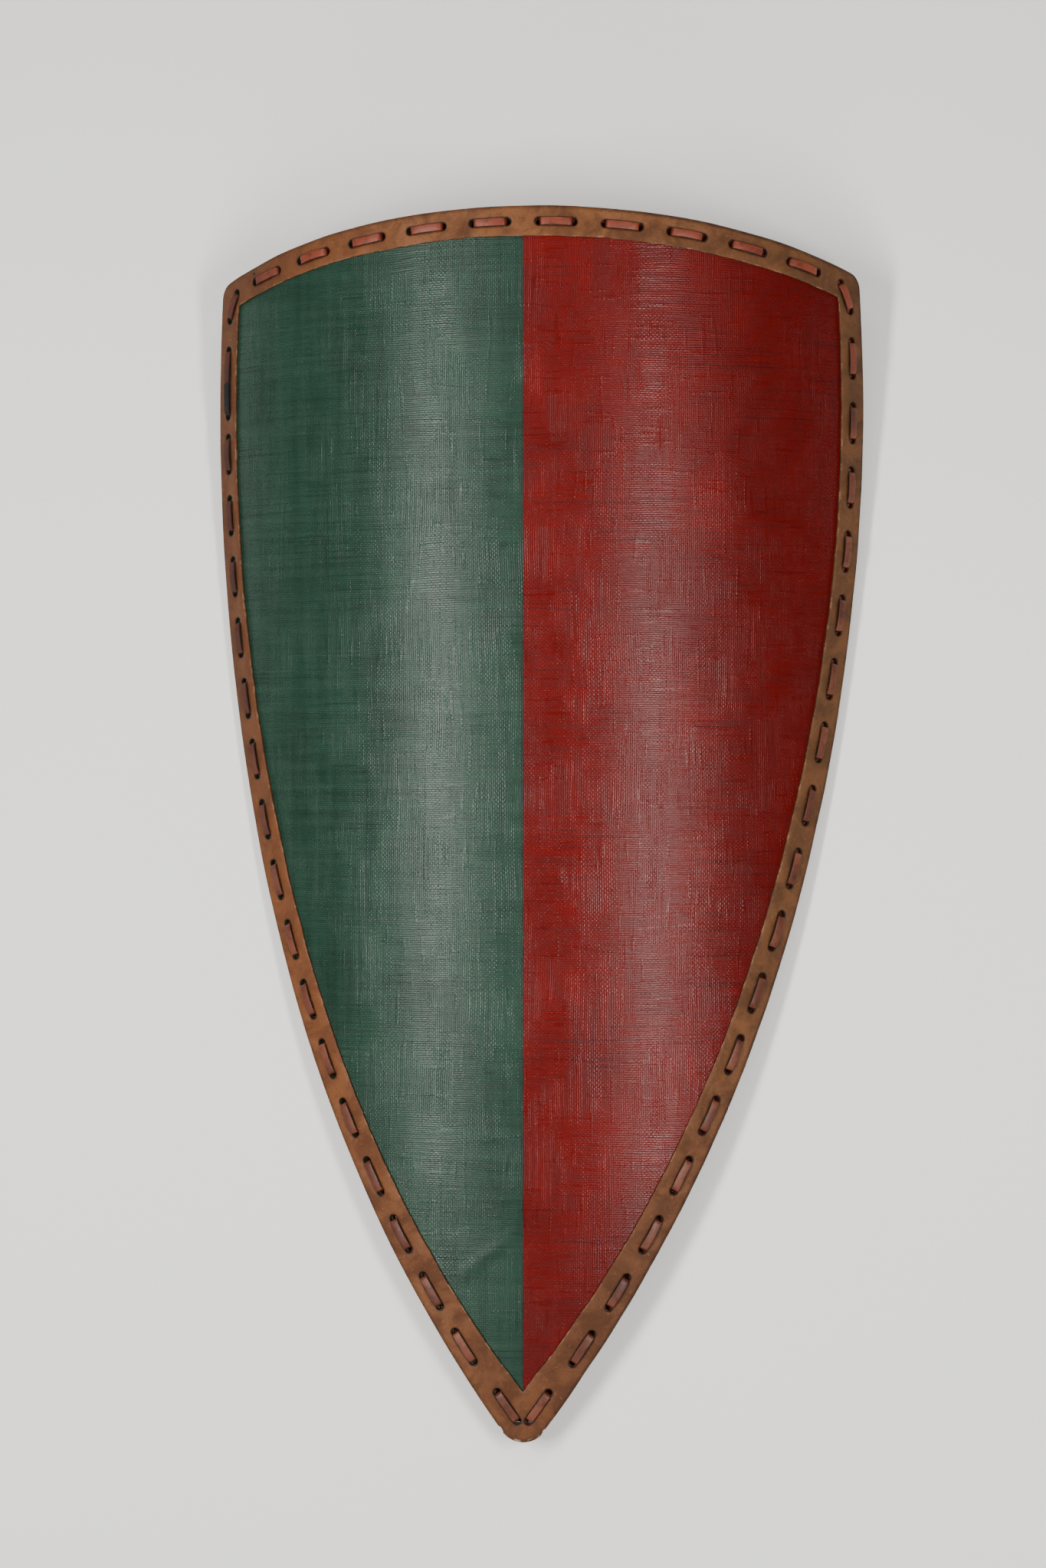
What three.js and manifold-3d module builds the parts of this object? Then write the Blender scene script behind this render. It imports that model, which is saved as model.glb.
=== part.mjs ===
// Heater shield: a wooden board faced with painted canvas, bent across its width, its edge bound
// with a folded leather rim that one flat leather lace sews on through punched holes, and behind
// it a forearm strap and a hand grip, each held by two round-headed nails.
//
// Every piece is drawn on the flat blank first: a runs across from the middle line, b runs up the
// length from the middle, and h is the height over the board's painted face. The blank is then
// bent round an axis parallel to its length. The bent shield lies face up on its two side edges.
import * as THREE from "three";
import { mergeVertices } from "three/addons/utils/BufferGeometryUtils.js";
import Module from "manifold-3d";

const wasm = await Module();
wasm.setup();

// Driving dimensions of the blank, in millimetres
const LENGTH = 1000; // top of the rim to the tip
const WIDTH = 606.6; // widest, measured round the bend
const BEND_RADIUS = 375; // of the painted face
const TOP_RADIUS = 980;
const CORNER_RADIUS = 16;
const UPPER_SIDE_RADIUS = 1129;
const WIDEST_BELOW_TOP = 154;
const SIDE_CHANGE_BELOW_TOP = 302; // where the upper side's arc runs into the lower one
const TIP_RADIUS = 22;

// Driving dimensions of the board, the leather and the lace
const BOARD_THICKNESS = 8;
const RIM_LEATHER = 2.2;
const RIM_FRONT = 27; // width of the rim on the face
const RIM_FRONT_AT_TIP = 33.7;
const RIM_BACK = 24;
const RIM_ROUND = 1.4; // how far the fold's edge is eased
const REST_DEPTH = 0.6; // how far the side edges are pressed flat where the shield rests on them
const CLEARANCE = 0.3; // between pieces that touch
const EDGE_CLEARANCE = 0.6; // between the board's edge and the bottom of the fold
const STITCH_INSET = 14; // from the rim's outer edge to the line of the lace
const TOP_STITCH_COUNT = 5; // on each half of the top edge
const SIDE_STITCH_COUNT = 17; // on each side
const STITCH_RUN = 27.8; // hole to hole on the face
const LACE_WIDTH = 6.2;
const LACE_THICKNESS = 1.8;
const LACE_ARCH = 0.9; // how far a stitch stands up at its middle, where it crosses a bend line
const LACE_JOIN_RUN = 27.6; // how much longer the stitch is where the two lace ends meet
const LACE_JOIN_SHIFT = 21.6; // how far that moves the next stitch down the left side
const LACE_JOIN_GAP = 1.2;
const HOLE_LENGTH = 4.6; // along the line of the lace
const HOLE_CLEARANCE = 0.4; // on each side of the lace

// Driving dimensions of the fittings behind the board
const STRAP_LEATHER = 3;
const FOREARM_WIDTH = 40;
const FOREARM_SPAN = 190; // end to end
const FOREARM_DEPTH = 52; // from the board to the outside of the loop
const GRIP_WIDTH = 30;
const GRIP_SPAN = 160;
const GRIP_DEPTH = 44;
const STRAP_END = 34; // length of each flat end
const STRAP_STRIPS = 3; // bend strips from the middle line to each strap
const STRAPS_ABOVE_MIDDLE = 62;
const LOOP_FULLNESS = 1.5; // 1 for a plain wave, more for a flatter crest
const NAIL_RADIUS = 2;
const NAIL_HEAD_RADIUS = 6.5;
const NAIL_HEAD_HEIGHT = 2.6;
const NAIL_DEPTH = 5.5; // into the board
const NAIL_DOME = { radius: 0.72, height: 0.75 }; // shares of the head where its dome turns

// How the lying shield is weighed, in kilograms for each cubic metre
const WOOD_DENSITY = 650;
const LEATHER_DENSITY = 900;
const BRASS_DENSITY = 8500;

// How finely curves are drawn
const STRIP = 42; // width of each flat strip of the bend
const TOP_STEPS = 5;
const CORNER_STEPS = 3;
const UPPER_SIDE_STEPS = 3;
const LOWER_SIDE_STEPS = 10;
const TIP_STEPS = 3;
const RIM_FLARE_POWER = 6; // how late the rim widens towards the tip
const STRAP_STEPS = 5; // on each half of a loop
const NAIL_SIDES = 6;
const REACH = 12; // how far a cutter passes a face
const MERGE = 1e-3; // corners closer than this are one

const FACE = 0;
const BACK = -BOARD_THICKNESS;
const RIM_TOP = CLEARANCE + RIM_LEATHER;
const RIM_BOTTOM = BACK - RIM_TOP;
const BOARD_INSET = RIM_LEATHER + EDGE_CLEARANCE;
const HOLE_WIDTH = LACE_WIDTH + 2 * HOLE_CLEARANCE;

const along = (from, to, t) => from + (to - from) * t;
const point = (centre, radius, angle) => ({
  a: centre.a + radius * Math.cos(angle),
  b: centre.b + radius * Math.sin(angle),
});
const angleFrom = (centre, target) => Math.atan2(target.b - centre.b, target.a - centre.a);

// The arcs of the right half of the outline, which meet smoothly
const topCentre = { a: 0, b: LENGTH / 2 - TOP_RADIUS };
const upperCentre = { a: WIDTH / 2 - UPPER_SIDE_RADIUS, b: LENGTH / 2 - WIDEST_BELOW_TOP };
const changeAngle = Math.asin((WIDEST_BELOW_TOP - SIDE_CHANGE_BELOW_TOP) / UPPER_SIDE_RADIUS);
const change = point(upperCentre, UPPER_SIDE_RADIUS, changeAngle);
const LOWER_SIDE_RADIUS = lowerSideRadius();
const lowerCentre = point(change, -LOWER_SIDE_RADIUS, changeAngle);

// The radius of the lower side that starts at the change and ends on the tip's round.
function lowerSideRadius() {
  const down = { a: -change.a, b: TIP_RADIUS - LENGTH / 2 - change.b };
  const outward = down.a * Math.cos(changeAngle) + down.b * Math.sin(changeAngle);
  const squared = down.a * down.a + down.b * down.b;
  return (TIP_RADIUS * TIP_RADIUS - squared) / (2 * (outward + TIP_RADIUS));
}

// Where a round of the given radius sits inside the top edge and the upper side.
function cornerCentre(radius) {
  const fromTop = TOP_RADIUS - radius;
  const fromSide = UPPER_SIDE_RADIUS - radius;
  const da = topCentre.a - upperCentre.a;
  const db = topCentre.b - upperCentre.b;
  const apart = Math.hypot(da, db);
  const foot = (fromSide * fromSide - fromTop * fromTop + apart * apart) / (2 * apart);
  const rise = Math.sqrt(fromSide * fromSide - foot * foot);
  return {
    a: upperCentre.a + (foot * da - rise * db) / apart,
    b: upperCentre.b + (foot * db + rise * da) / apart,
  };
}

function tipCentre(radius) {
  const reach = LOWER_SIDE_RADIUS - radius;
  return { a: 0, b: lowerCentre.b - Math.sqrt(reach * reach - lowerCentre.a * lowerCentre.a) };
}

// The closed outline, inset from the shield's edge, clockwise from the middle of the top. A corner
// whose round is smaller than the inset comes out sharp.
function outline(inset, tipInset = inset, finer = 1) {
  const corner = Math.max(CORNER_RADIUS, inset);
  const tip = Math.max(TIP_RADIUS, tipInset);
  const cornerAt = cornerCentre(corner);
  const tipAt = tipCentre(tip);
  const cornerStart = angleFrom(topCentre, cornerAt);
  const cornerEnd = angleFrom(upperCentre, cornerAt);
  const tipStart = angleFrom(lowerCentre, tipAt);
  const half = [];
  const arc = (centre, radiusAt, from, to, steps) => {
    const count = steps * finer;
    for (let i = 0; i < count; i++) {
      const t = i / count;
      half.push(point(centre, radiusAt(t), along(from, to, t)));
    }
  };
  const flare = (t) => inset + (tipInset - inset) * Math.pow(t, RIM_FLARE_POWER);
  arc(topCentre, () => TOP_RADIUS - inset, Math.PI / 2, cornerStart, TOP_STEPS);
  if (corner > inset) arc(cornerAt, () => corner - inset, cornerStart, cornerEnd, CORNER_STEPS);
  arc(upperCentre, () => UPPER_SIDE_RADIUS - inset, cornerEnd, changeAngle, UPPER_SIDE_STEPS);
  arc(lowerCentre, (t) => LOWER_SIDE_RADIUS - flare(t), changeAngle, tipStart, LOWER_SIDE_STEPS);
  if (tip > tipInset) arc(tipAt, () => tip - tipInset, tipStart, -Math.PI / 2, TIP_STEPS);
  half.push({ a: 0, b: tipAt.b - (tip - tipInset) });
  const mirrored = half.slice(1, -1).reverse().map((p) => ({ a: -p.a, b: p.b }));
  return [...half, ...mirrored];
}

// The bend. Between two bend lines the board is flat, so a point moves straight across the strip.
const stripOf = (a) => Math.floor(a / STRIP + 0.5);
const onArc = (a, b, h) => {
  const turn = a / BEND_RADIUS;
  const radius = BEND_RADIUS + h;
  return new THREE.Vector3(radius * Math.sin(turn), b, radius * Math.cos(turn) - BEND_RADIUS);
};
function inStrip(k, a, b, h) {
  const left = onArc((k - 0.5) * STRIP, b, h);
  const right = onArc((k + 0.5) * STRIP, b, h);
  return left.lerp(right, a / STRIP - k + 0.5);
}
const bend = (a, b, h) => inStrip(stripOf(a), a, b, h);

// The directions at a point of the blank: across, up the length, and out of the face.
function frameAt(a) {
  const turn = a / BEND_RADIUS;
  return {
    across: new THREE.Vector3(Math.cos(turn), 0, -Math.sin(turn)),
    up: new THREE.Vector3(0, 1, 0),
    out: new THREE.Vector3(Math.sin(turn), 0, Math.cos(turn)),
  };
}

// Solids from geometries and back
function solidOf(geometry, matrix) {
  const bare = geometry.clone();
  bare.deleteAttribute("normal");
  bare.deleteAttribute("uv");
  if (matrix) bare.applyMatrix4(matrix);
  const merged = mergeVertices(bare, MERGE);
  const vertProperties = new Float32Array(merged.attributes.position.array);
  const triVerts = new Uint32Array(merged.index.array);
  return new wasm.Manifold(new wasm.Mesh({ numProp: 3, vertProperties, triVerts }));
}

function cornersOf(made) {
  const mesh = made.getMesh();
  return Array.from(mesh.triVerts, (v) => {
    const [x, y, z] = mesh.vertProperties.subarray(v * mesh.numProp, v * mesh.numProp + 3);
    return new THREE.Vector3(x, y, z);
  });
}

function geometryFrom(corners) {
  const geometry = new THREE.BufferGeometry().setFromPoints(corners);
  geometry.computeVertexNormals();
  return geometry;
}

const geometryOf = (made) => geometryFrom(cornersOf(made));

function cut(body, cutters) {
  return cutters.reduce((left, cutter) => left.subtract(cutter), body);
}

// A plate on the flat blank from one height to another, its edges eased by ease if it is given.
function flatPlate(loop, bottom, top, ease = 0) {
  const shape = new THREE.Shape(loop.map((p) => new THREE.Vector2(p.a, p.b)));
  const geometry = new THREE.ExtrudeGeometry(shape, {
    depth: top - bottom - 2 * ease,
    bevelEnabled: ease > 0,
    bevelThickness: ease,
    bevelSize: ease,
    bevelOffset: -ease,
    bevelSegments: 1,
  });
  return solidOf(geometry.translate(0, 0, bottom + ease));
}

// Bends a flat solid: it is cut at every bend line and each strip turns to its place. The cut
// faces, where two strips meet again, are left out.
function bent(flat) {
  const { min, max } = flat.boundingBox();
  const strips = [];
  const onLine = new Map();
  let rest = flat;
  for (let k = stripOf(min[0]); k <= stripOf(max[0]); k++) {
    const [right, strip] = rest.splitByPlane([1, 0, 0], (k + 0.5) * STRIP);
    rest = right;
    const corners = cornersOf(strip);
    const triangles = [];
    for (let i = 0; i < corners.length; i += 3) triangles.push(corners.slice(i, i + 3));
    strips.push({ k, triangles });
    for (const v of corners) {
      const line = lineOf(v);
      if (line !== null) onLine.set(line, [...(onLine.get(line) ?? []), v]);
    }
  }
  const bentCorners = strips.flatMap(({ k, triangles }) =>
    triangles
      .filter(([p, q, r]) => lineOf(p) === null || lineOf(p) !== lineOf(q) || lineOf(p) !== lineOf(r))
      .flatMap((triangle) => splitAtMeetings(triangle, onLine))
      .map((v) => inStrip(k, v.x, v.y, v.z)),
  );
  return solidOf(geometryFrom(bentCorners));
}

// The bend line that a point of the blank lies on, or null.
function lineOf(v) {
  const line = Math.round(v.x / STRIP - 0.5);
  return Math.abs(v.x - (line + 0.5) * STRIP) < MERGE ? line : null;
}

// A triangle, split where an edge on a bend line has corners of the next strip along it.
function splitAtMeetings(triangle, onLine) {
  for (let i = 0; i < 3; i++) {
    const [p, q, r] = [0, 1, 2].map((k) => triangle[(i + k) % 3]);
    const line = lineOf(p);
    if (line === null || lineOf(q) !== line) continue;
    const way = q.clone().sub(p);
    const reach = way.length();
    way.divideScalar(reach);
    const between = onLine.get(line).map((v) => {
      const from = v.clone().sub(p);
      const at = from.dot(way);
      return { v, at, off: from.addScaledVector(way, -at).length() };
    });
    const inside = ({ at, off }) => off < MERGE && at > MERGE && at < reach - MERGE;
    const row = [p, ...between.filter(inside).sort((m, n) => m.at - n.at).map(({ v }) => v), q];
    return row.slice(1).flatMap((v, k) => (v.distanceTo(row[k]) < MERGE ? [] : [row[k], v, r]));
  }
  return triangle;
}

// The line of the lace, as a run of points with the distance travelled from the top's middle
const stitchLine = outline(STITCH_INSET, STITCH_INSET, 6);
const stitchHalf = stitchLine.slice(0, stitchLine.length / 2 + 1);
const travelled = [0];
stitchHalf.forEach((p, i) => {
  if (i > 0) {
    const before = stitchHalf[i - 1];
    travelled.push(travelled[i - 1] + Math.hypot(p.a - before.a, p.b - before.b));
  }
});
const halfLine = travelled[travelled.length - 1];

// A point of the line at a signed distance from the top's middle, positive on the right.
function onStitchLine(distance) {
  const reach = Math.min(Math.abs(distance), halfLine);
  let i = 1;
  while (travelled[i] < reach && i < travelled.length - 1) i += 1;
  const t = (reach - travelled[i - 1]) / (travelled[i] - travelled[i - 1]);
  const p = stitchHalf[i - 1];
  const q = stitchHalf[i];
  return { a: Math.sign(distance) * along(p.a, q.a, t), b: along(p.b, q.b, t) };
}

// The stitches clockwise from the middle of the top: the half edge, a corner, a side and the tip
const HALF_STITCH_COUNT = TOP_STITCH_COUNT + 1 + SIDE_STITCH_COUNT + 1;
const STITCH_PITCH = halfLine / HALF_STITCH_COUNT;
const JOIN = TOP_STITCH_COUNT + 1; // the first stitch of the left side

function stitch(index, side) {
  let start = (index + 0.5) * STITCH_PITCH - STITCH_RUN / 2;
  let end = start + STITCH_RUN;
  if (side < 0 && index === JOIN) end += LACE_JOIN_RUN;
  if (side < 0 && index > JOIN && index < HALF_STITCH_COUNT - 1) {
    const left = (HALF_STITCH_COUNT - 2 - index) / (HALF_STITCH_COUNT - 2 - JOIN);
    start += LACE_JOIN_SHIFT * left;
    end += LACE_JOIN_SHIFT * left;
  }
  const ends = [onStitchLine(side * start), onStitchLine(side * end)];
  return side > 0 ? ends : ends.reverse();
}

const stitches = [];
for (let i = 0; i < HALF_STITCH_COUNT; i++) stitches.push(stitch(i, 1));
for (let i = HALF_STITCH_COUNT - 1; i >= 0; i--) stitches.push(stitch(i, -1));
const joinAt = stitches.length - 1 - JOIN;

// Holes are cut square to the stitch that they end.
function holeCutter(hole, [start, end]) {
  const depth = RIM_TOP - RIM_BOTTOM + 2 * REACH;
  const turn = Math.atan2(end.b - start.b, end.a - start.a);
  const box = new THREE.BoxGeometry(HOLE_LENGTH, HOLE_WIDTH, depth);
  return solidOf(box.rotateZ(turn).translate(hole.a, hole.b, (RIM_TOP + RIM_BOTTOM) / 2));
}

const holeCutters = stitches.flatMap((ends) => ends.map((hole) => holeCutter(hole, ends)));

// The leather rim: a folded strip with a slot for the board's edge, open front and back
function makeRim() {
  const front = outline(RIM_FRONT, RIM_FRONT_AT_TIP);
  const back = outline(RIM_BACK, RIM_BACK + RIM_FRONT_AT_TIP - RIM_FRONT);
  const folded = cut(flatPlate(outline(0), RIM_BOTTOM, RIM_TOP, RIM_ROUND), [
    flatPlate(outline(RIM_LEATHER), BACK - CLEARANCE, CLEARANCE),
    flatPlate(front, FACE, RIM_TOP + REACH),
    flatPlate(back, RIM_BOTTOM - REACH, BACK),
    ...holeCutters,
  ]);
  return bent(folded);
}

function makeBoard(nailHoles) {
  const blank = flatPlate(outline(BOARD_INSET), BACK, FACE);
  return cut(bent(cut(blank, holeCutters)), nailHoles);
}

// The lace: a flat strap swept through every stitch, folded square at each hole
function makeLace() {
  const overFace = RIM_TOP + CLEARANCE + LACE_THICKNESS / 2;
  const underBack = RIM_BOTTOM - CLEARANCE - LACE_THICKNESS / 2;
  const stations = [];
  const add = (hole, [start, end], h) => {
    const run = bend(end.a, end.b, h).sub(bend(start.a, start.b, h));
    const across = run.cross(frameAt(hole.a).out).normalize();
    stations.push({ at: bend(hole.a, hole.b, h), across });
  };
  const middleOf = (ends, shift) => {
    const [start, end] = ends;
    const t = 0.5 + shift / Math.hypot(end.a - start.a, end.b - start.b);
    return { a: along(start.a, end.a, t), b: along(start.b, end.b, t) };
  };
  const count = stitches.length;
  const join = stitches[joinAt];
  add(middleOf(join, LACE_JOIN_GAP / 2), join, overFace + LACE_ARCH);
  add(join[1], join, overFace);
  add(join[1], join, underBack);
  for (let step = 1; step < count; step++) {
    const ends = stitches[(joinAt + step) % count];
    add(ends[0], ends, underBack);
    add(ends[0], ends, overFace);
    const overBend = stripOf(ends[0].a) !== stripOf(ends[1].a);
    if (overBend) add(middleOf(ends, 0), ends, overFace + LACE_ARCH);
    add(ends[1], ends, overFace);
    add(ends[1], ends, underBack);
  }
  add(join[0], join, underBack);
  add(join[0], join, overFace);
  add(middleOf(join, -LACE_JOIN_GAP / 2), join, overFace + LACE_ARCH);
  return sweepFlat(stations, LACE_WIDTH, LACE_THICKNESS);
}

// A flat strap through stations that each hold a place and the way across the strap.
function sweepFlat(stations, width, thickness) {
  const vertices = [];
  const triangles = [];
  const last = stations.length - 1;
  const heading = (i) => stations[i + 1].at.clone().sub(stations[i].at).normalize();
  stations.forEach(({ at, across }, i) => {
    const into = heading(Math.max(i - 1, 0));
    const outOf = heading(Math.min(i, last - 1));
    const before = new THREE.Vector3().crossVectors(into, across).normalize();
    const after = new THREE.Vector3().crossVectors(outOf, across).normalize();
    const thick = before.clone().add(after).divideScalar(1 + before.dot(after));
    for (const [w, t] of [[1, 1], [-1, 1], [-1, -1], [1, -1]]) {
      const corner = at.clone();
      corner.addScaledVector(across, (w * width) / 2);
      corner.addScaledVector(thick, (t * thickness) / 2);
      vertices.push(corner);
    }
  });
  for (let i = 0; i < last; i++) {
    for (let k = 0; k < 4; k++) {
      const p = 4 * i + k;
      const q = 4 * i + ((k + 1) % 4);
      triangles.push([p, q, p + 4], [q, q + 4, p + 4]);
    }
  }
  const end = 4 * last;
  triangles.push([0, 2, 1], [0, 3, 2], [end, end + 1, end + 2], [end, end + 2, end + 3]);
  return solidOf(geometryFrom(triangles.flat().map((v) => vertices[v])));
}

// Where a strap sits: its own x across, y up the shield and z out of the board's back
function strapPlace(strips, width) {
  const { across, up, out } = frameAt(strips * STRIP);
  const place = new THREE.Matrix4().makeBasis(across.negate(), up, out.negate());
  place.setPosition(bend(strips * STRIP, STRAPS_ABOVE_MIDDLE, BACK));
  const edge = bend(strips * STRIP + width / 2, STRAPS_ABOVE_MIDDLE, BACK);
  const proud = edge.applyMatrix4(place.clone().invert()).z;
  return { place, seat: proud + CLEARANCE };
}

// A strap's side view: two flat ends and a loop between them that stands off the board.
function strapProfile(span, depth, seat) {
  const rest = seat + STRAP_LEATHER / 2;
  const crest = depth - STRAP_LEATHER / 2;
  const free = span / 2 - STRAP_END;
  const middle = [new THREE.Vector2(-span / 2, rest)];
  for (let i = -STRAP_STEPS; i <= STRAP_STEPS; i++) {
    const t = i / STRAP_STEPS;
    const swell = (1 + Math.cos(Math.PI * Math.pow(Math.abs(t), LOOP_FULLNESS))) / 2;
    middle.push(new THREE.Vector2(free * t, along(rest, crest, swell)));
  }
  middle.push(new THREE.Vector2(span / 2, rest));
  const offset = (side) =>
    middle.map((p, i) => {
      const before = middle[Math.max(i - 1, 0)];
      const after = middle[Math.min(i + 1, middle.length - 1)];
      const way = after.clone().sub(before).normalize();
      const normal = new THREE.Vector2(-way.y, way.x);
      return p.clone().addScaledVector(normal, (side * STRAP_LEATHER) / 2);
    });
  return new THREE.Shape([...offset(-1), ...offset(1).reverse()]);
}

// Nails stand at the middle of each flat end; their heads rest on the strap.
function nailGeometry(seat) {
  const under = seat + STRAP_LEATHER + CLEARANCE;
  const profile = [
    [0, -NAIL_DEPTH],
    [NAIL_RADIUS, -NAIL_DEPTH + NAIL_RADIUS],
    [NAIL_RADIUS, under],
    [NAIL_HEAD_RADIUS, under],
    [NAIL_HEAD_RADIUS * NAIL_DOME.radius, under + NAIL_HEAD_HEIGHT * NAIL_DOME.height],
    [0, under + NAIL_HEAD_HEIGHT],
  ].map(([x, y]) => new THREE.Vector2(x, y));
  return new THREE.LatheGeometry(profile, NAIL_SIDES).rotateX(Math.PI / 2);
}

function nailHole() {
  const radius = (NAIL_RADIUS + CLEARANCE) / Math.cos(Math.PI / NAIL_SIDES);
  const depth = NAIL_DEPTH + CLEARANCE + REACH;
  const drill = new THREE.CylinderGeometry(radius, radius, depth, NAIL_SIDES);
  return drill.rotateX(Math.PI / 2).translate(0, 0, depth / 2 - NAIL_DEPTH - CLEARANCE);
}

// One strap with its two nails and the holes that they need in the board
function makeStrap(name, strips, width, span, depth) {
  const { place, seat } = strapPlace(strips, width);
  const side = new THREE.ExtrudeGeometry(strapProfile(span, depth, seat), {
    depth: width,
    bevelEnabled: false,
    curveSegments: 1,
  });
  const upright = new THREE.Matrix4().makeBasis(
    new THREE.Vector3(0, 1, 0),
    new THREE.Vector3(0, 0, 1),
    new THREE.Vector3(1, 0, 0),
  );
  side.translate(0, 0, -width / 2).applyMatrix4(upright);
  const nails = ["lower", "upper"].map((end) => {
    const y = (end === "upper" ? 1 : -1) * (span / 2 - STRAP_END / 2);
    const at = place.clone().multiply(new THREE.Matrix4().makeTranslation(0, y, 0));
    const made = solidOf(nailGeometry(seat), at);
    return { name: name + "_nail_" + end, made, hole: solidOf(nailHole(), at) };
  });
  const holes = nails.map((nail) => nail.hole);
  return { name, made: cut(solidOf(side, place), holes), nails, holes };
}

const straps = [
  makeStrap("forearm_strap", STRAP_STRIPS, FOREARM_WIDTH, FOREARM_SPAN, FOREARM_DEPTH),
  makeStrap("hand_grip", -STRAP_STRIPS, GRIP_WIDTH, GRIP_SPAN, GRIP_DEPTH),
];

const finish = (color, roughness, metalness = 0) =>
  new THREE.MeshStandardMaterial({ color, roughness, metalness });

const pieces = [
  {
    name: "board",
    made: makeBoard(straps.flatMap((strap) => strap.holes)),
    density: WOOD_DENSITY,
    material: finish(0x30544a, 0.5),
  },
  { name: "rim", made: makeRim(), density: LEATHER_DENSITY, material: finish(0x93643c, 0.7) },
  { name: "lace", made: makeLace(), density: LEATHER_DENSITY, material: finish(0x6e3a2a, 0.55) },
  ...straps.map(({ name, made }) => {
    return { name, made, density: LEATHER_DENSITY, material: finish(0x6b452c, 0.65) };
  }),
  ...straps.flatMap(({ nails }) =>
    nails.map(({ name, made }) => {
      return { name, made, density: BRASS_DENSITY, material: finish(0xa8873f, 0.35, 1) };
    }),
  ),
].map((piece) => ({ ...piece, geometry: geometryOf(piece.made) }));

// The centre of mass, from the signed tetrahedra under each piece's triangles
function centreOfMass() {
  const sum = new THREE.Vector3();
  let mass = 0;
  const corner = [new THREE.Vector3(), new THREE.Vector3(), new THREE.Vector3()];
  for (const { geometry, density } of pieces) {
    const position = geometry.getAttribute("position");
    for (let i = 0; i < position.count; i += 3) {
      corner.forEach((v, k) => v.fromBufferAttribute(position, i + k));
      const share = (density * corner[0].dot(corner[1].clone().cross(corner[2]))) / 6;
      corner.forEach((v) => sum.addScaledVector(v, share / 4));
      mass += share;
    }
  }
  return sum.divideScalar(mass);
}

// The slope of the side edge's flat that lies below the centre of mass: the shield rests on it.
function restingSlope() {
  const centre = centreOfMass();
  const edge = outline(RIM_ROUND).filter((p) => p.a > WIDTH / 4);
  for (let i = 0; i + 1 < edge.length; i++) {
    const p = bend(edge[i].a, edge[i].b, RIM_BOTTOM);
    const q = bend(edge[i + 1].a, edge[i + 1].b, RIM_BOTTOM);
    const way = q.clone().sub(p).setX(0).normalize();
    const reach = centre.clone().sub(p).setX(0).dot(way);
    if (reach >= 0 && reach < q.clone().sub(p).setX(0).length()) return Math.atan2(way.z, -way.y);
  }
  return 0;
}

// Lying face up, the shield tips until those flats are level.
const slope = restingSlope();

// The rim with its lowest spots pressed flat, level with the ground.
function pressedFlat(rim) {
  const tip = new THREE.Matrix4().makeRotationX(slope);
  const lying = geometryOf(rim).applyMatrix4(tip);
  lying.computeBoundingBox();
  const below = new THREE.BoxGeometry(2 * WIDTH, 2 * LENGTH, 2 * REST_DEPTH);
  below.translate(0, 0, lying.boundingBox.min.z);
  return cut(rim, [solidOf(below, tip.invert())]);
}

const shield = new THREE.Group();
for (const { name, made, geometry, material } of pieces) {
  const mesh = new THREE.Mesh(name === "rim" ? geometryOf(pressedFlat(made)) : geometry, material);
  mesh.name = name;
  shield.add(mesh);
}
shield.rotation.x = slope;
shield.updateMatrixWorld(true);
const box = new THREE.Box3().setFromObject(shield, true);
shield.position.set(-(box.min.x + box.max.x) / 2, -(box.min.y + box.max.y) / 2, -box.min.z);

const part = new THREE.Group();
part.add(shield);

export default part;
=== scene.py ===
"""The look of the heater shield: painted canvas on a bent board, a laced leather rim, and two straps behind.

Everything is drawn on the flat blank first. There a runs across from the middle line, b runs up the
length from the middle and h is the height over the painted face, all in metres. The blank is then
bent round an axis parallel to its length, and the bent shield is laid on its two side edges.
"""

import math

import bmesh
import bpy
import numpy as np
from mathutils import Matrix, Vector
from mathutils.geometry import delaunay_2d_cdt


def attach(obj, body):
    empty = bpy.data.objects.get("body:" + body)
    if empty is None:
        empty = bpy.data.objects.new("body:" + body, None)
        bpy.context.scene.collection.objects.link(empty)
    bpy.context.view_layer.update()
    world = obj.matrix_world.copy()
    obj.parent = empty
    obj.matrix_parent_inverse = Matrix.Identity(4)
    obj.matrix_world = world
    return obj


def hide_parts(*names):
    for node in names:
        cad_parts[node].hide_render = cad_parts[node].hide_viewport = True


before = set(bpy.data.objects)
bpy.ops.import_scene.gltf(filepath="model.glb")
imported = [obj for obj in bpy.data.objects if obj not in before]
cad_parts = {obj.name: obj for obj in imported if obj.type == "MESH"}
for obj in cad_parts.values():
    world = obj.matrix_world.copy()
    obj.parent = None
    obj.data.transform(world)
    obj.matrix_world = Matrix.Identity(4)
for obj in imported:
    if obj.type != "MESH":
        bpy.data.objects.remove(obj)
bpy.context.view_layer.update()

MM = 0.001
SEED = 12

# The flat blank
LENGTH = 1000 * MM
WIDTH = 606.6 * MM
BEND_RADIUS = 375 * MM
TOP_RADIUS = 980 * MM
CORNER_RADIUS = 16 * MM
UPPER_SIDE_RADIUS = 1129 * MM
WIDEST_BELOW_TOP = 154 * MM
SIDE_CHANGE_BELOW_TOP = 302 * MM
TIP_RADIUS = 22 * MM
BOARD_THICKNESS = 8 * MM
RIM_LEATHER = 2.2 * MM
RIM_FRONT = 27 * MM
RIM_FRONT_AT_TIP = 33.7 * MM
RIM_BACK = 24 * MM
RIM_FLARE_POWER = 6
CLEARANCE = 0.3 * MM
BOARD_INSET = 2.8 * MM
RIM_THINNER_BEHIND = 0.4 * MM
RIM_TOP = CLEARANCE + RIM_LEATHER
RIM_BOTTOM = -BOARD_THICKNESS - RIM_TOP + RIM_THINNER_BEHIND

# How many times finer than the sides the tip's arc is stepped
TIP_FINER = 2.5

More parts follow.
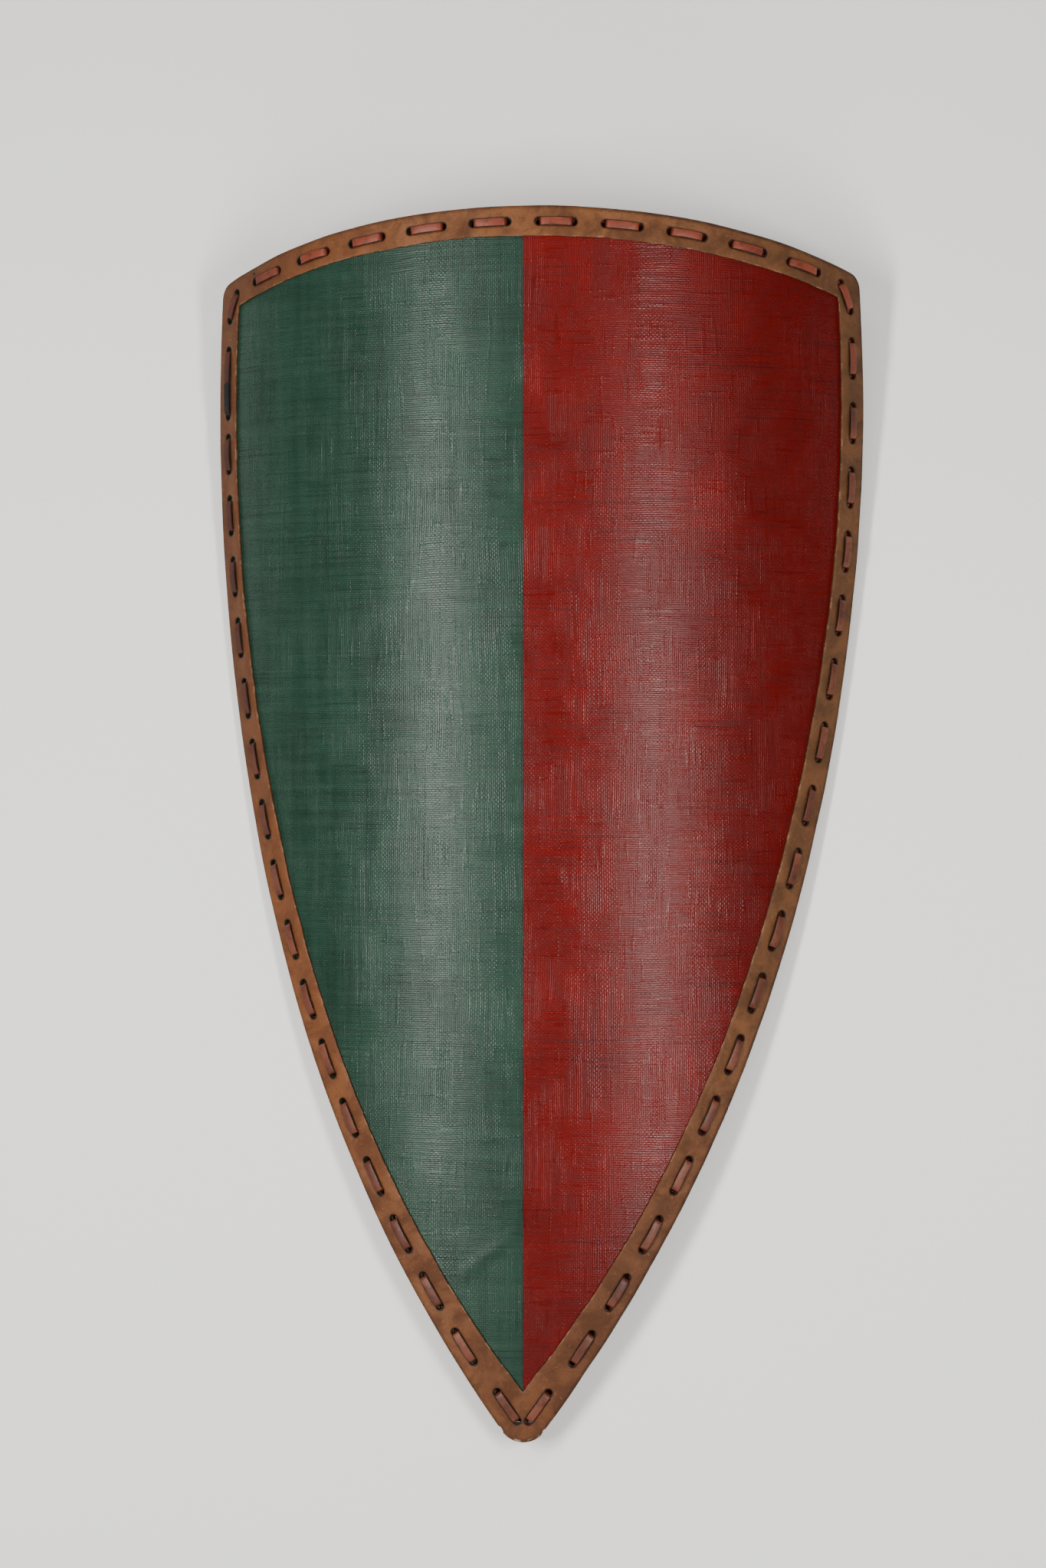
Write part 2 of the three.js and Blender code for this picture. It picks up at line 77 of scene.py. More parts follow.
# The lace
STITCH_INSET = 14 * MM
TOP_STITCH_COUNT = 5
SIDE_STITCH_COUNT = 17
STITCH_RUN = 27.8 * MM
LACE_WIDTH = 6.4 * MM
LACE_THICKNESS = 1.8 * MM
LACE_JOIN_RUN = 27.6 * MM
LACE_JOIN_SHIFT = 21.6 * MM
HOLE_RADIUS = 3.2 * MM
TIP_GATHER = np.array([5.0, 3.0]) * MM
HOLE_SIDES = 14

# The fittings behind the board
STRAP_LEATHER = 3 * MM
STRAP_OUT = 126 * MM
STRAPS_ABOVE_MIDDLE = 62 * MM
STRAP_END = 34 * MM
FOREARM = {"width": 40 * MM, "span": 190 * MM, "depth": 52 * MM}
GRIP = {"width": 30 * MM, "span": 160 * MM, "depth": 44 * MM}

# How the bent shield lies
LIE_TILT = math.radians(7.68)
LIE_PLACE = np.array([0.0, -0.612, 89.878]) * MM


def along(start, end, t):
    return start + (end - start) * t


def unit(rows):
    return rows / np.linalg.norm(rows, axis=1, keepdims=True)


def fade(distance, reach, power=2):
    """1 at no distance, falling to nearly 0 at twice the reach, more steeply with a higher power."""
    return np.exp(-((distance / reach) ** power))


def bend(a, b, h):
    """Points of the blank, bent and laid down, as rows of x, y, z."""
    a, b, h = np.broadcast_arrays(a, b, h)
    turn = a / BEND_RADIUS
    x = (BEND_RADIUS + h) * np.sin(turn)
    z = (BEND_RADIUS + h) * np.cos(turn) - BEND_RADIUS
    return lay(np.stack([x, b, z], -1))


def turned(directions):
    """Directions of the bent shield, turned as it lies."""
    x, y, z = np.moveaxis(np.asarray(directions, float), -1, 0)
    c, s = math.cos(LIE_TILT), math.sin(LIE_TILT)
    return np.stack([x, y * c - z * s, y * s + z * c], -1)


def lay(points):
    return turned(points) + LIE_PLACE


# The outline, from arcs that meet smoothly
TOP_CENTRE = np.array([0.0, LENGTH / 2 - TOP_RADIUS])
UPPER_CENTRE = np.array([WIDTH / 2 - UPPER_SIDE_RADIUS, LENGTH / 2 - WIDEST_BELOW_TOP])
CHANGE_ANGLE = math.asin((WIDEST_BELOW_TOP - SIDE_CHANGE_BELOW_TOP) / UPPER_SIDE_RADIUS)


def on_circle(centre, radius, angle):
    return np.stack([centre[0] + radius * np.cos(angle), centre[1] + radius * np.sin(angle)], -1)


CHANGE = on_circle(UPPER_CENTRE, UPPER_SIDE_RADIUS, CHANGE_ANGLE)


def lower_side_radius():
    """The radius that leads from the change of curve to a tip that is round at the shield's end."""
    down = np.array([-CHANGE[0], TIP_RADIUS - LENGTH / 2 - CHANGE[1]])
    outward = down[0] * math.cos(CHANGE_ANGLE) + down[1] * math.sin(CHANGE_ANGLE)
    return (TIP_RADIUS**2 - down @ down) / (2 * (outward + TIP_RADIUS))


LOWER_SIDE_RADIUS = lower_side_radius()
LOWER_CENTRE = on_circle(CHANGE, -LOWER_SIDE_RADIUS, CHANGE_ANGLE)


def corner_centre(radius):
    """The middle of a corner that touches the top's arc and the upper side's from within."""
    from_top, from_side = TOP_RADIUS - radius, UPPER_SIDE_RADIUS - radius
    da, db = TOP_CENTRE - UPPER_CENTRE
    apart = math.hypot(da, db)
    foot = (from_side**2 - from_top**2 + apart**2) / (2 * apart)
    rise = math.sqrt(from_side**2 - foot**2)
    return UPPER_CENTRE + np.array([foot * da - rise * db, foot * db + rise * da]) / apart


def tip_centre(radius):
    """The middle of a tip that touches both lower sides from within."""
    reach = LOWER_SIDE_RADIUS - radius
    return np.array([0.0, LOWER_CENTRE[1] - math.sqrt(reach**2 - LOWER_CENTRE[0] ** 2)])


def angle_from(centre, target):
    return math.atan2(target[1] - centre[1], target[0] - centre[0])


def half_outline(inset, tip_inset, spacing):
    """The right half from the middle of the top to the tip, inset from the shield's edge."""
    corner, tip = max(CORNER_RADIUS, inset), max(TIP_RADIUS, tip_inset)
    corner_at, tip_at = corner_centre(corner), tip_centre(tip)
    corner_start = angle_from(TOP_CENTRE, corner_at)
    corner_end = angle_from(UPPER_CENTRE, corner_at)
    tip_start = angle_from(LOWER_CENTRE, tip_at)
    rows = []

    def arc(centre, radius, depth, start, end, deeper=0.0, finer=1.0):
        """Adds an arc at a depth inside a circle, which may grow deeper towards its end."""
        count = max(2, math.ceil(abs(end - start) * (finer * radius) / spacing))
        t = np.arange(count) / count
        depths = depth + deeper * t**RIM_FLARE_POWER
        rows.append(on_circle(centre, radius - depths, along(start, end, t)))

    arc(TOP_CENTRE, TOP_RADIUS, inset, math.pi / 2, corner_start)
    if corner > inset:
        arc(corner_at, corner, inset, corner_start, corner_end)
    arc(UPPER_CENTRE, UPPER_SIDE_RADIUS, inset, corner_end, CHANGE_ANGLE)
    arc(LOWER_CENTRE, LOWER_SIDE_RADIUS, inset, CHANGE_ANGLE, tip_start, deeper=tip_inset - inset)
    if tip > tip_inset:
        arc(tip_at, tip, tip_inset, tip_start, -math.pi / 2, finer=TIP_FINER)
    rows.append(np.array([[0.0, tip_at[1] - (tip - tip_inset)]]))
    return np.concatenate(rows)


def outline(inset=0.0, tip_inset=None, spacing=3 * MM):
    """The closed outline, clockwise from the middle of the top, inset alike at the tip if not told."""
    half = half_outline(inset, inset if tip_inset is None else tip_inset, spacing)
    return np.concatenate([half, half[-2:0:-1] * [-1, 1]])


def outward(loop):
    """Unit normals of a clockwise loop, pointing out of it."""
    way = np.roll(loop, -1, 0) - np.roll(loop, 1, 0)
    return unit(np.stack([-way[:, 1], way[:, 0]], -1))


def ripple(rng, waves, low, high):
    """A smooth random function of points, from plane waves between two wavelengths. About -1 to 1."""
    turn = rng.uniform(0, 2 * math.pi, waves)
    number = 2 * math.pi / rng.uniform(low, high, waves)
    k = np.stack([np.cos(turn), np.sin(turn)]) * number
    phase = rng.uniform(0, 2 * math.pi, waves)
    return lambda p: np.sin(np.asarray(p) @ k + phase).sum(-1) * math.sqrt(0.5 / waves)


rng = np.random.default_rng(SEED)
cut_wander = ripple(rng, 14, 18 * MM, 70 * MM)
cut_nibble = ripple(rng, 14, 4 * MM, 11 * MM)
edge_wander = ripple(rng, 12, 40 * MM, 160 * MM)
hide_swell = ripple(rng, 22, 16 * MM, 46 * MM)
cloth_swell = ripple(rng, 26, 60 * MM, 260 * MM)
back_swell = ripple(rng, 18, 60 * MM, 200 * MM)

# The folded edge, and nicks in it where it is gathered round the tip: place and depth in millimetres
EDGE_DEPTH = 1.05 * MM
EDGE_WANDER = 0.25 * MM
NICKS = [((-18.6, -489.5), 2.2), ((-21.5, -481.0), 0.7), ((18.0, -490.5), 2.0), ((20.9, -484.0), 1.0)]
NICK_REACH = 1.7 * MM
CUT_WANDER = 0.35 * MM
CUT_NIBBLE = 0.2 * MM


def worn_edge(loop):
    """A loop near the outer edge, with the slight wander and the nicks of the folded leather."""
    depth = EDGE_WANDER * edge_wander(loop) + EDGE_DEPTH
    for place, deep in NICKS:
        away = np.linalg.norm(loop - np.array(place) * MM, axis=1)
        depth = depth + deep * MM * fade(away, NICK_REACH)
    return loop - outward(loop) * depth[:, None]


def cut_edge(loop):
    """A loop along a cut edge of the leather, which isn't quite straight."""
    depth = CUT_WANDER * cut_wander(loop) + CUT_NIBBLE * cut_nibble(loop)
    return loop - outward(loop) * depth[:, None]


# The line of the lace, and where each stitch starts and ends
def lace_line():
    half = half_outline(STITCH_INSET, STITCH_INSET, 2 * MM)
    steps = np.linalg.norm(np.diff(half, axis=0), axis=1)
    return half, np.concatenate([[0], np.cumsum(steps)])


LACE_HALF, LACE_TRAVEL = lace_line()
HALF_STITCH_COUNT = TOP_STITCH_COUNT + 1 + SIDE_STITCH_COUNT + 1
STITCH_PITCH = LACE_TRAVEL[-1] / HALF_STITCH_COUNT
JOIN = TOP_STITCH_COUNT + 1


def on_lace_line(distance):
    """A place on the lace's line, as far from the middle of the top, to the left if less than 0."""
    reach = min(abs(distance), LACE_TRAVEL[-1])
    a = np.interp(reach, LACE_TRAVEL, LACE_HALF[:, 0])
    b = np.interp(reach, LACE_TRAVEL, LACE_HALF[:, 1])
    return np.array([math.copysign(1, distance) * a, b])


def stitch(index, side):
    """The two holes of a stitch, counted from the top on the right side (1) or the left (-1)."""
    start = (index + 0.5) * STITCH_PITCH - STITCH_RUN / 2
    end = start + STITCH_RUN
    if side < 0 and index == JOIN:
        end += LACE_JOIN_RUN
    if side < 0 and JOIN < index < HALF_STITCH_COUNT - 1:
        left = (HALF_STITCH_COUNT - 2 - index) / (HALF_STITCH_COUNT - 2 - JOIN)
        start += LACE_JOIN_SHIFT * left
        end += LACE_JOIN_SHIFT * left
    ends = [on_lace_line(side * start), on_lace_line(side * end)]
    if index == HALF_STITCH_COUNT - 1:
        ends = [end - np.array([side, 1]) * TIP_GATHER for end in ends]
    return ends if side > 0 else ends[::-1]


stitches = [stitch(i, 1) for i in range(HALF_STITCH_COUNT)]
stitches += [stitch(i, -1) for i in reversed(range(HALF_STITCH_COUNT))]
join_at = len(stitches) - 1 - JOIN
holes = np.array([hole for ends in stitches for hole in ends])


def from_line(points, start, end):
    """Each point's distance from a straight line, and how far along it the point is, 0 to 1."""
    way = end - start
    t = np.clip((points - start) @ way / (way @ way), 0, 1)
    return np.linalg.norm(points - (start + t[:, None] * way), axis=1), t


def from_stitches(points):
    """The distance from each point to the closest stitch."""
    return np.min([from_line(points, *ends)[0] for ends in stitches], axis=0)


# A stray prick of the awl, just outside the last hole of the top's left half
PRICK_OUT = 7.4 * MM
PRICK_RADIUS = 1.3 * MM


def stray_prick():
    hole = stitch(TOP_STITCH_COUNT - 1, -1)[0]
    away = hole - TOP_CENTRE
    return hole + away / np.linalg.norm(away) * PRICK_OUT


PRICK = stray_prick()


def ring(centre, radius, count=HOLE_SIDES):
    angle = 2 * math.pi * np.arange(count) / count
    return on_circle(centre, radius, angle)


# Meshes
# Corners closer than this, in millimetres, are one, and a face with less area, in square metres, is none
WELD_GAP = 1e-5
LEAST_AREA = 1e-12
# The middles of all triangles across a ring lie within this share of its radius
WITHIN_RING = 0.96
# Staggered rows lie this share of their points' spacing apart
ROW_SPACING = 0.87


def runs_of(loops):
    """The indices of each loop's points, when the loops are put one after another."""
    starts = np.cumsum([0] + [len(loop) for loop in loops])
    return [np.arange(start, start + len(loop)) for start, loop in zip(starts, loops)]


def triangles_of(points, loops):
    """Triangles over flat points, none crossing a loop. A loop is a run of indices into points."""
    edges = [(i, j) for loop in loops for i, j in zip(loop, np.roll(loop, -1))]
    scaled = [Vector(p) for p in points / MM]
    _, _, faces, came_from, _, _ = delaunay_2d_cdt(
        scaled, [(int(i), int(j)) for i, j in edges], [], 0, WELD_GAP, True
    )
    source = np.array([ids[0] if ids else -1 for ids in came_from])
    found = source[np.array(faces)]
    return found[(found >= 0).all(1)]


def inside(points, loop):
    """Which points lie inside a closed loop."""
    x, y = points.T
    odd = np.zeros(len(points), bool)
    for p, q in zip(loop, np.roll(loop, -1, 0)):
        if p[1] == q[1]:
            continue
        crosses = (p[1] > y) != (q[1] > y)
        odd ^= crosses & (x < along(p[0], q[0], (y - p[1]) / (q[1] - p[1])))
    return odd


def nearest(points, targets):
    """The distance from each point to the closest target."""
    best = np.full(len(points), np.inf)
    for target in targets:
        best = np.minimum(best, np.hypot(*(points - target).T))
    return best


def facing(points, triangles, up):
    """The triangles turned so that on the flat blank they face up, or down if up is False."""
    p, q, r = (points[triangles[:, k]] for k in range(3))
    area = np.cross(q - p, r - p)
    kept = np.abs(area) > LEAST_AREA
    triangles, turn = triangles[kept], (area[kept] > 0) != up
    return np.where(turn[:, None], triangles[:, ::-1], triangles)


def clear_of_holes(points, radius):
    return nearest(points, holes) > WITHIN_RING * radius


def in_scene(name, data):
    """A new object in the scene."""
    made = bpy.data.objects.new(name, data)
    bpy.context.scene.collection.objects.link(made)
    return made


def store(mesh, label, values):
    """Keeps a value or a vector for each corner of a mesh."""
    kind, field = ("FLOAT_VECTOR", "vector") if np.ndim(values) == 2 else ("FLOAT", "value")
    mesh.attributes.new(label, kind, "POINT")
    mesh.attributes[label].data.foreach_set(field, np.asarray(values, np.float32).ravel())


class Skin:
    """Corners of the blank and faces over them, gathered into one mesh."""

    def __init__(self):
        self.corners, self.faces, self.marks = [], [], []
        self.count = 0

    def add(self, points, heights, marks=(0.0, 0.0, 0.0)):
        """Adds corners at flat points and heights, with three marks each, and returns their indices."""
        rows = np.empty((len(points), 3))
        rows[:, :2] = points
        rows[:, 2] = heights
        self.corners.append(rows)
        self.marks.append(np.broadcast_to(marks, (len(points), 3)))
        self.count += len(points)
        return np.arange(self.count - len(points), self.count)

    def face(self, loops, within, up, height, keep, marks=None):
        """Covers the flat between loops through the points within, where keep wants a triangle's middle."""
        points = np.concatenate([*loops, within])
        triangles = facing(points, triangles_of(points, runs_of(loops)), up)
        triangles = triangles[keep(points[triangles].mean(1))]
        ids = self.add(points, height(points), marks(points) if marks else (0.0, 0.0, 0.0))
        self.faces += ids[triangles].tolist()
        return ids

    def wall(self, upper, lower):
        """A closed band between two loops of corners that run alike, clockwise, facing outward."""
        after_upper, after_lower = np.roll(upper, -1), np.roll(lower, -1)
        self.faces += np.stack([upper, after_upper, after_lower, lower], -1).tolist()

    def mesh(self, name, sharp):
        blank = np.concatenate(self.corners)
        mesh = bpy.data.meshes.new(name)
        mesh.from_pydata(bend(*blank.T).tolist(), [], self.faces)
        store(mesh, "blank", blank)
        store(mesh, "marks", np.concatenate(self.marks))
        mesh.polygons.foreach_set("use_smooth", [True] * len(mesh.polygons))
        mesh.set_sharp_from_angle(angle=math.radians(sharp))
        mesh.update()
        return in_scene(name, mesh)


def grid_inside(loop, spacing, keep_off):
    """Evenly staggered points inside a loop, none closer to it than keep_off."""
    low, high = loop.min(0), loop.max(0)
    b = np.arange(low[1] + spacing / 2, high[1], spacing * ROW_SPACING)
    a = np.arange(low[0], high[0], spacing)
    a, b = np.meshgrid(a, b)
    a[1::2] += spacing / 2
    points = np.stack([a.ravel(), b.ravel()], -1)
    points = points[inside(points, loop)]
    return points[nearest(points, loop) > keep_off]


# The board, with its painted canvas, and a short crease in it from one place to another in millimetres
CREASE = [(-55.0, -368.0), (2.5, -324.0)]
CREASE_REACH = 5 * MM
CREASE_HEIGHT = 0.55 * MM
BOARD_HOLE_RADIUS = 0.94 * HOLE_RADIUS
BOARD_EDGE_SPACING = 5 * MM
CANVAS_UNDER_RIM = 4 * MM
CANVAS_SPACING = 3.6 * MM
CANVAS_KEEP_OFF = 3 * MM
CANVAS_SWELL = 0.06 * MM
WOOD_SPACING = 18 * MM
WOOD_KEEP_OFF = 6 * MM
WOOD_SWELL = 0.12 * MM
FACE_SUNK = 0.1 * MM


def crease(points):
    away, t = from_line(points, *(np.array(place) * MM for place in CREASE))
    return CREASE_HEIGHT * fade(away, CREASE_REACH) * np.sin(math.pi * t) ** 0.5


def make_board():
    """The bent board: fine corners under the canvas in front, coarse ones in the bare wood behind."""
    skin = Skin()
    edge = outline(BOARD_INSET, spacing=BOARD_EDGE_SPACING)
    loops = [edge, *(ring(hole, BOARD_HOLE_RADIUS) for hole in holes)]
    canvas = (RIM_FRONT - CANVAS_UNDER_RIM, RIM_FRONT_AT_TIP - CANVAS_UNDER_RIM, BOARD_EDGE_SPACING)
    fine = grid_inside(outline(*canvas), CANVAS_SPACING, CANVAS_KEEP_OFF)
    coarse = grid_inside(edge, WOOD_SPACING, WOOD_KEEP_OFF)
    coarse = coarse[nearest(coarse, holes) > WOOD_KEEP_OFF]

    def solid(points):
        return inside(points, edge) & clear_of_holes(points, BOARD_HOLE_RADIUS)

    def painted(points):
        return CANVAS_SWELL * cloth_swell(points) - FACE_SUNK + crease(points)

    def bare(points):
        return WOOD_SWELL * back_swell(points) - BOARD_THICKNESS + FACE_SUNK

    front = skin.face(loops, fine, True, painted, solid)
    back = skin.face(loops, coarse, False, bare, solid)
    for run in runs_of(loops):
        skin.wall(front[run], back[run])
    return skin.mesh("painted_board", 40)


# The rim, one folded strip of leather
FOLD = 2.2 * MM
FOLD_STEPS = 5
FRONT_SPACING = 3 * MM
BACK_SPACING = 5 * MM
BEFORE_CUT = 1.3 * MM
KEEP_OFF = 1.0 * MM
STITCH_KEEP_OFF = 6.4 * MM
HOLE_KEEP_OFF = 2.4 * MM
COLLAR = 1.4 * MM
PRICK_RINGS = (0.01, 0.6, 1.0, 1.4, 2.0)
PRICK_SIDES = 8
PRICK_KEEP_OFF = 2.5 * PRICK_RADIUS

# How a stitch presses into the leather, and lines of points beside it in millimetres
GROOVE_DEPTH = 0.5 * MM
GROOVE_HALF = 2.9 * MM
GROOVE_EASE = 1.3 * MM
GROOVE_LINES = (-5.2, -3.9, -2.9, 0, 2.9, 3.9, 5.2)
GROOVE_SPACING = 2.6 * MM

# How the leather is eased down at its cut edge, its holes and the prick
CUT_DROP, CUT_DROP_REACH = 0.55 * MM, 0.9 * MM
HOLE_DROP, HOLE_DROP_REACH = 0.5 * MM, 1.1 * MM
PRICK_DROP = 1.3 * MM
FOLD_REACH = 5 * MM

# How much the leather swells and how far it is sunk, in millimetres, in front and behind
FRONT_SWELL, FRONT_SUNK = 0.28, 0.1
BACK_SWELL, BACK_SUNK = 0.15, 0.3

# How far the wear marks reach, and the distance in from the outer edge that is marked 1
CUT_WEAR = 1.0 * MM
HOLE_WEAR = 2.2 * MM
PRICK_WEAR = 1.25 * PRICK_RADIUS
EDGE_MARK = 10 * MM

# How much narrower the front lip is high up, in millimetres, and where that starts and is full
TRIM = 1.5
TRIM_MORE_ON_LEFT = 0.8
TRIM_FROM_UP, TRIM_RISE = -50 * MM, 250 * MM
TRIM_LEFT_REACH = 200 * MM


def pressed(points):
    """1 where a stitch presses into the leather, falling to 0 beside it."""
    return fade(np.maximum(from_stitches(points) - GROOVE_HALF, 0), GROOVE_EASE)


def beside_stitches():
    """Points along both sides of every stitch, close enough to shape its groove."""
    rows = []
    for start, end in stitches:
        way = end - start
        reach = np.linalg.norm(way)
        side = np.array([-way[1], way[0]]) / reach
        steps = np.linspace(0, 1, math.ceil(reach / GROOVE_SPACING) + 1)[:, None]
        rows += [start + steps * way + side * off * MM for off in GROOVE_LINES]
    return np.concatenate(rows)


def trimmed(loop):
    """The front lip's cut edge, a little nearer the outer edge along the top and the upper sides."""
    high = np.clip((loop[:, 1] - TRIM_FROM_UP) / TRIM_RISE, 0, 1)
    left = np.clip(-loop[:, 0] / TRIM_LEFT_REACH, 0, 1)
    back = (TRIM + TRIM_MORE_ON_LEFT * left) * MM * high * high * (3 - 2 * high)
    return loop + outward(loop) * back[:, None]


def make_rim():
    """The strip of leather: a lip on each face of the board and the fold that joins them."""
    skin = Skin()
    brim, fold_in = worn_edge(outline(0)), worn_edge(outline(FOLD))
    rings = [ring(hole, HOLE_RADIUS) for hole in holes]

    def lip_points(width, tip_width, inner, near, up, spacing):
        """Points that fill a lip between the fold and its cut edge."""
        count = round((width - FOLD) / spacing)
        shares = [k / count for k in range(1, count)]
        rows = [outline(along(FOLD, width, t), along(FOLD, tip_width, t), spacing) for t in shares]
        rows = np.concatenate([*rows, near])
        if up:
            rows = rows[from_stitches(rows) > STITCH_KEEP_OFF]
            rows = np.concatenate([rows, beside_stitches()])
            rows = rows[inside(rows, fold_in) & (nearest(rows, fold_in) > KEEP_OFF)]
            rows = rows[~inside(rows, inner)]
        rows = rows[nearest(rows, holes) > HOLE_RADIUS + HOLE_KEEP_OFF]
        rows = rows[nearest(rows, inner) > KEEP_OFF]
        rows = rows[nearest(rows, [PRICK]) > PRICK_KEEP_OFF]
        collars = [ring(hole, HOLE_RADIUS + COLLAR) for hole in holes]
        prick = [ring(PRICK, PRICK_RADIUS * k, PRICK_SIDES) for k in PRICK_RINGS]
        return np.concatenate([rows, *collars, *prick])

    def lip(width, tip_width, over, under, up, spacing):
        """Both skins of the fold on one face of the board, and the loops where the fold goes on."""
        inner = cut_edge(outline(width, tip_width))
        near = cut_edge(outline(width - BEFORE_CUT, tip_width - BEFORE_CUT))
        if up:
            inner, near = trimmed(inner), trimmed(near)
        loops = [fold_in, inner, *rings]
        swell, sunk = (FRONT_SWELL, FRONT_SUNK) if up else (BACK_SWELL, BACK_SUNK)

        def leather(points):
            on_lip = inside(points, fold_in) & ~inside(points, inner)
            return on_lip & clear_of_holes(points, HOLE_RADIUS)

        def marks(points):
            """Wear at holes less that at the cut edge, the press beside stitches, and the way in; in the
            finish they also carry grime and painted shade.
            """
            pricked = fade(nearest(points, [PRICK]), PRICK_WEAR, 6)
            worn = np.exp(-(nearest(points, holes) - HOLE_RADIUS) / HOLE_WEAR)
            wear = np.clip(np.maximum(worn, pricked), 0, 1)
            wear -= np.exp(-nearest(points, inner) / CUT_WEAR)
            press = pressed(points) if up else 0 * wear
            return np.stack([wear, press, nearest(points, brim) / EDGE_MARK], -1)

        def outer_height(points):
            rise = (swell * hide_swell(points) - sunk) * MM
            rise *= np.clip(nearest(points, fold_in) / FOLD_REACH, 0, 1)
            drop = CUT_DROP * fade(nearest(points, inner), CUT_DROP_REACH)
            from_hole = np.maximum(nearest(points, holes) - HOLE_RADIUS, 0)
            drop += HOLE_DROP * fade(from_hole, HOLE_DROP_REACH)
            if up:
                drop += PRICK_DROP * fade(nearest(points, [PRICK]), PRICK_RADIUS, 4)
                drop = np.maximum(drop, GROOVE_DEPTH * pressed(points))
            return over + (1 if up else -1) * (rise - drop)

        def inner_height(points):
            return np.full(len(points), under)

        within = lip_points(width, tip_width, inner, near, up, spacing)
        top = skin.face(loops, within, up, outer_height, leather, marks)
        low = skin.face(loops, np.zeros((0, 2)), not up, inner_height, leather, marks)
        upper, lower = (top, low) if up else (low, top)
        fold_run, cut_run, *hole_runs = runs_of(loops)
        skin.wall(lower[cut_run], upper[cut_run])
        for run in hole_runs:
            skin.wall(upper[run], lower[run])
        return top[fold_run], low[fold_run]

    front_top, front_low = lip(RIM_FRONT, RIM_FRONT_AT_TIP, RIM_TOP, CLEARANCE, True, FRONT_SPACING)
    back_tip = RIM_BACK + RIM_FRONT_AT_TIP - RIM_FRONT
    inside_back = -BOARD_THICKNESS - CLEARANCE
    back_top, back_low = lip(RIM_BACK, back_tip, RIM_BOTTOM, inside_back, False, BACK_SPACING)

    angles = [math.pi / 2 * k / FOLD_STEPS for k in range(FOLD_STEPS + 1)]
    outer = [front_top]
    for angle in angles[1:]:
        loop = along(fold_in, brim, math.sin(angle))
        outer.append(skin.add(loop, along(CLEARANCE, RIM_TOP, math.cos(angle))))
    for angle in angles[:-1]:
        loop = along(fold_in, brim, math.cos(angle))
        outer.append(skin.add(loop, along(inside_back, RIM_BOTTOM, math.sin(angle))))
    outer.append(back_top)
    for upper, lower in zip(outer, outer[1:]):
        skin.wall(upper, lower)
    skin.wall(back_low, front_low)
    return skin.mesh("leather_rim", 50)


# Geometry Nodes
class Nodes:
    """Short ways to add nodes to a tree."""

    def __init__(self, tree):
        self.tree = tree

    def put(self, socket, value):
        if isinstance(value, bpy.types.NodeSocket):
            self.tree.links.new(value, socket)
        else:
            socket.default_value = value

    def add(self, kind, inputs=None, **settings):
        node = self.tree.nodes.new(kind)
        for key, value in settings.items():
            setattr(node, key, value)
        for key, value in (inputs or {}).items():
            self.put(node.inputs[key], value)
        return node

    def first(self, kind, inputs=None, **settings):
        """Adds a node and returns its first output."""
        return self.add(kind, inputs, **settings).outputs[0]

    def geo(self, kind, inputs=None, **settings):
        return self.first("GeometryNode" + kind, inputs, **settings)

    def named(self, label, kind="FLOAT"):
        """An attribute that the mesh brings to a tree."""
        return self.geo("InputNamedAttribute", {"Name": label}, data_type=kind)

    def math(self, operation, *values, clamp=False):
        return self.first(
            "ShaderNodeMath", dict(enumerate(values)), operation=operation, use_clamp=clamp
        )

    def times(self, first, second):
        return self.math("MULTIPLY", first, second)

    def plus(self, first, second):
        return self.math("ADD", first, second)

    def minus(self, first, second):
        return self.math("SUBTRACT", first, second)

    def ramp(self, value, low, high, start=0.0, end=1.0):
        """Start up to low, end from high on, and a smooth change between them."""
        limits = {"From Min": low, "From Max": high, "To Min": start, "To Max": end}
        return self.first(
            "ShaderNodeMapRange", {"Value": value, **limits}, interpolation_type="SMOOTHSTEP"
        )

    def mix(self, factor, first, second):
        colours = {"Factor": factor, 6: first, 7: second}
        return self.add("ShaderNodeMix", colours, data_type="RGBA").outputs[2]

    def coats(self, colour, *rows):
        """Lays paints over a colour in turn, each with its mask and how strong it is there."""
        for mask, strength, shade in rows:
            colour = self.mix(self.times(mask, strength), colour, paint(*shade))
        return colour

    def noise(self, place, scale, detail=2.0, roughness=0.5, distortion=0.0):
        kind = {"Scale": scale, "Detail": detail, "Roughness": roughness, "Distortion": distortion}
        return self.first("ShaderNodeTexNoise", {"Vector": place, **kind})

    def drawn(self, first, second, waves, other_waves, seed=0.0, *kind):
        """A noise drawn out over two lengths, with its own waves per metre for each of them."""
        place = self.join(self.times(first, waves), self.times(second, other_waves), seed)
        return self.noise(place, 1.0, *kind)

    def split(self, vector):
        return self.add("ShaderNodeSeparateXYZ", {0: vector}).outputs

    def join(self, x, y, z=0.0):
        return self.first("ShaderNodeCombineXYZ", {0: x, 1: y, 2: z})


def grow(name, seed_mesh, tree, values):
    """Runs a tree on a mesh, its inputs set by name, and returns the result as a plain mesh object."""
    seed = in_scene(name + "_seed", seed_mesh)
    modifier = seed.modifiers.new("grow", "NODES")
    modifier.node_group = tree
    for item in tree.interface.items_tree:
        if item.item_type == "SOCKET" and item.in_out == "INPUT" and item.name in values:
            modifier[item.identifier] = values[item.name]
    graph = bpy.context.evaluated_depsgraph_get()
    mesh = bpy.data.meshes.new_from_object(seed.evaluated_get(graph), depsgraph=graph)
    seed.modifiers.remove(modifier)
    bpy.data.objects.remove(seed)
    mesh.name = name
    return in_scene(name, mesh)


def seed_points(name, points, values, joined):
    """A mesh of points, joined in a run or not, with an attribute for each of values."""
    edges = [(i, i + 1) for i in range(len(points) - 1)] if joined else []
    mesh = bpy.data.meshes.new(name)
    mesh.from_pydata(points.tolist(), edges, [])
    for label, data in values.items():
        store(mesh, label, data)
    return mesh


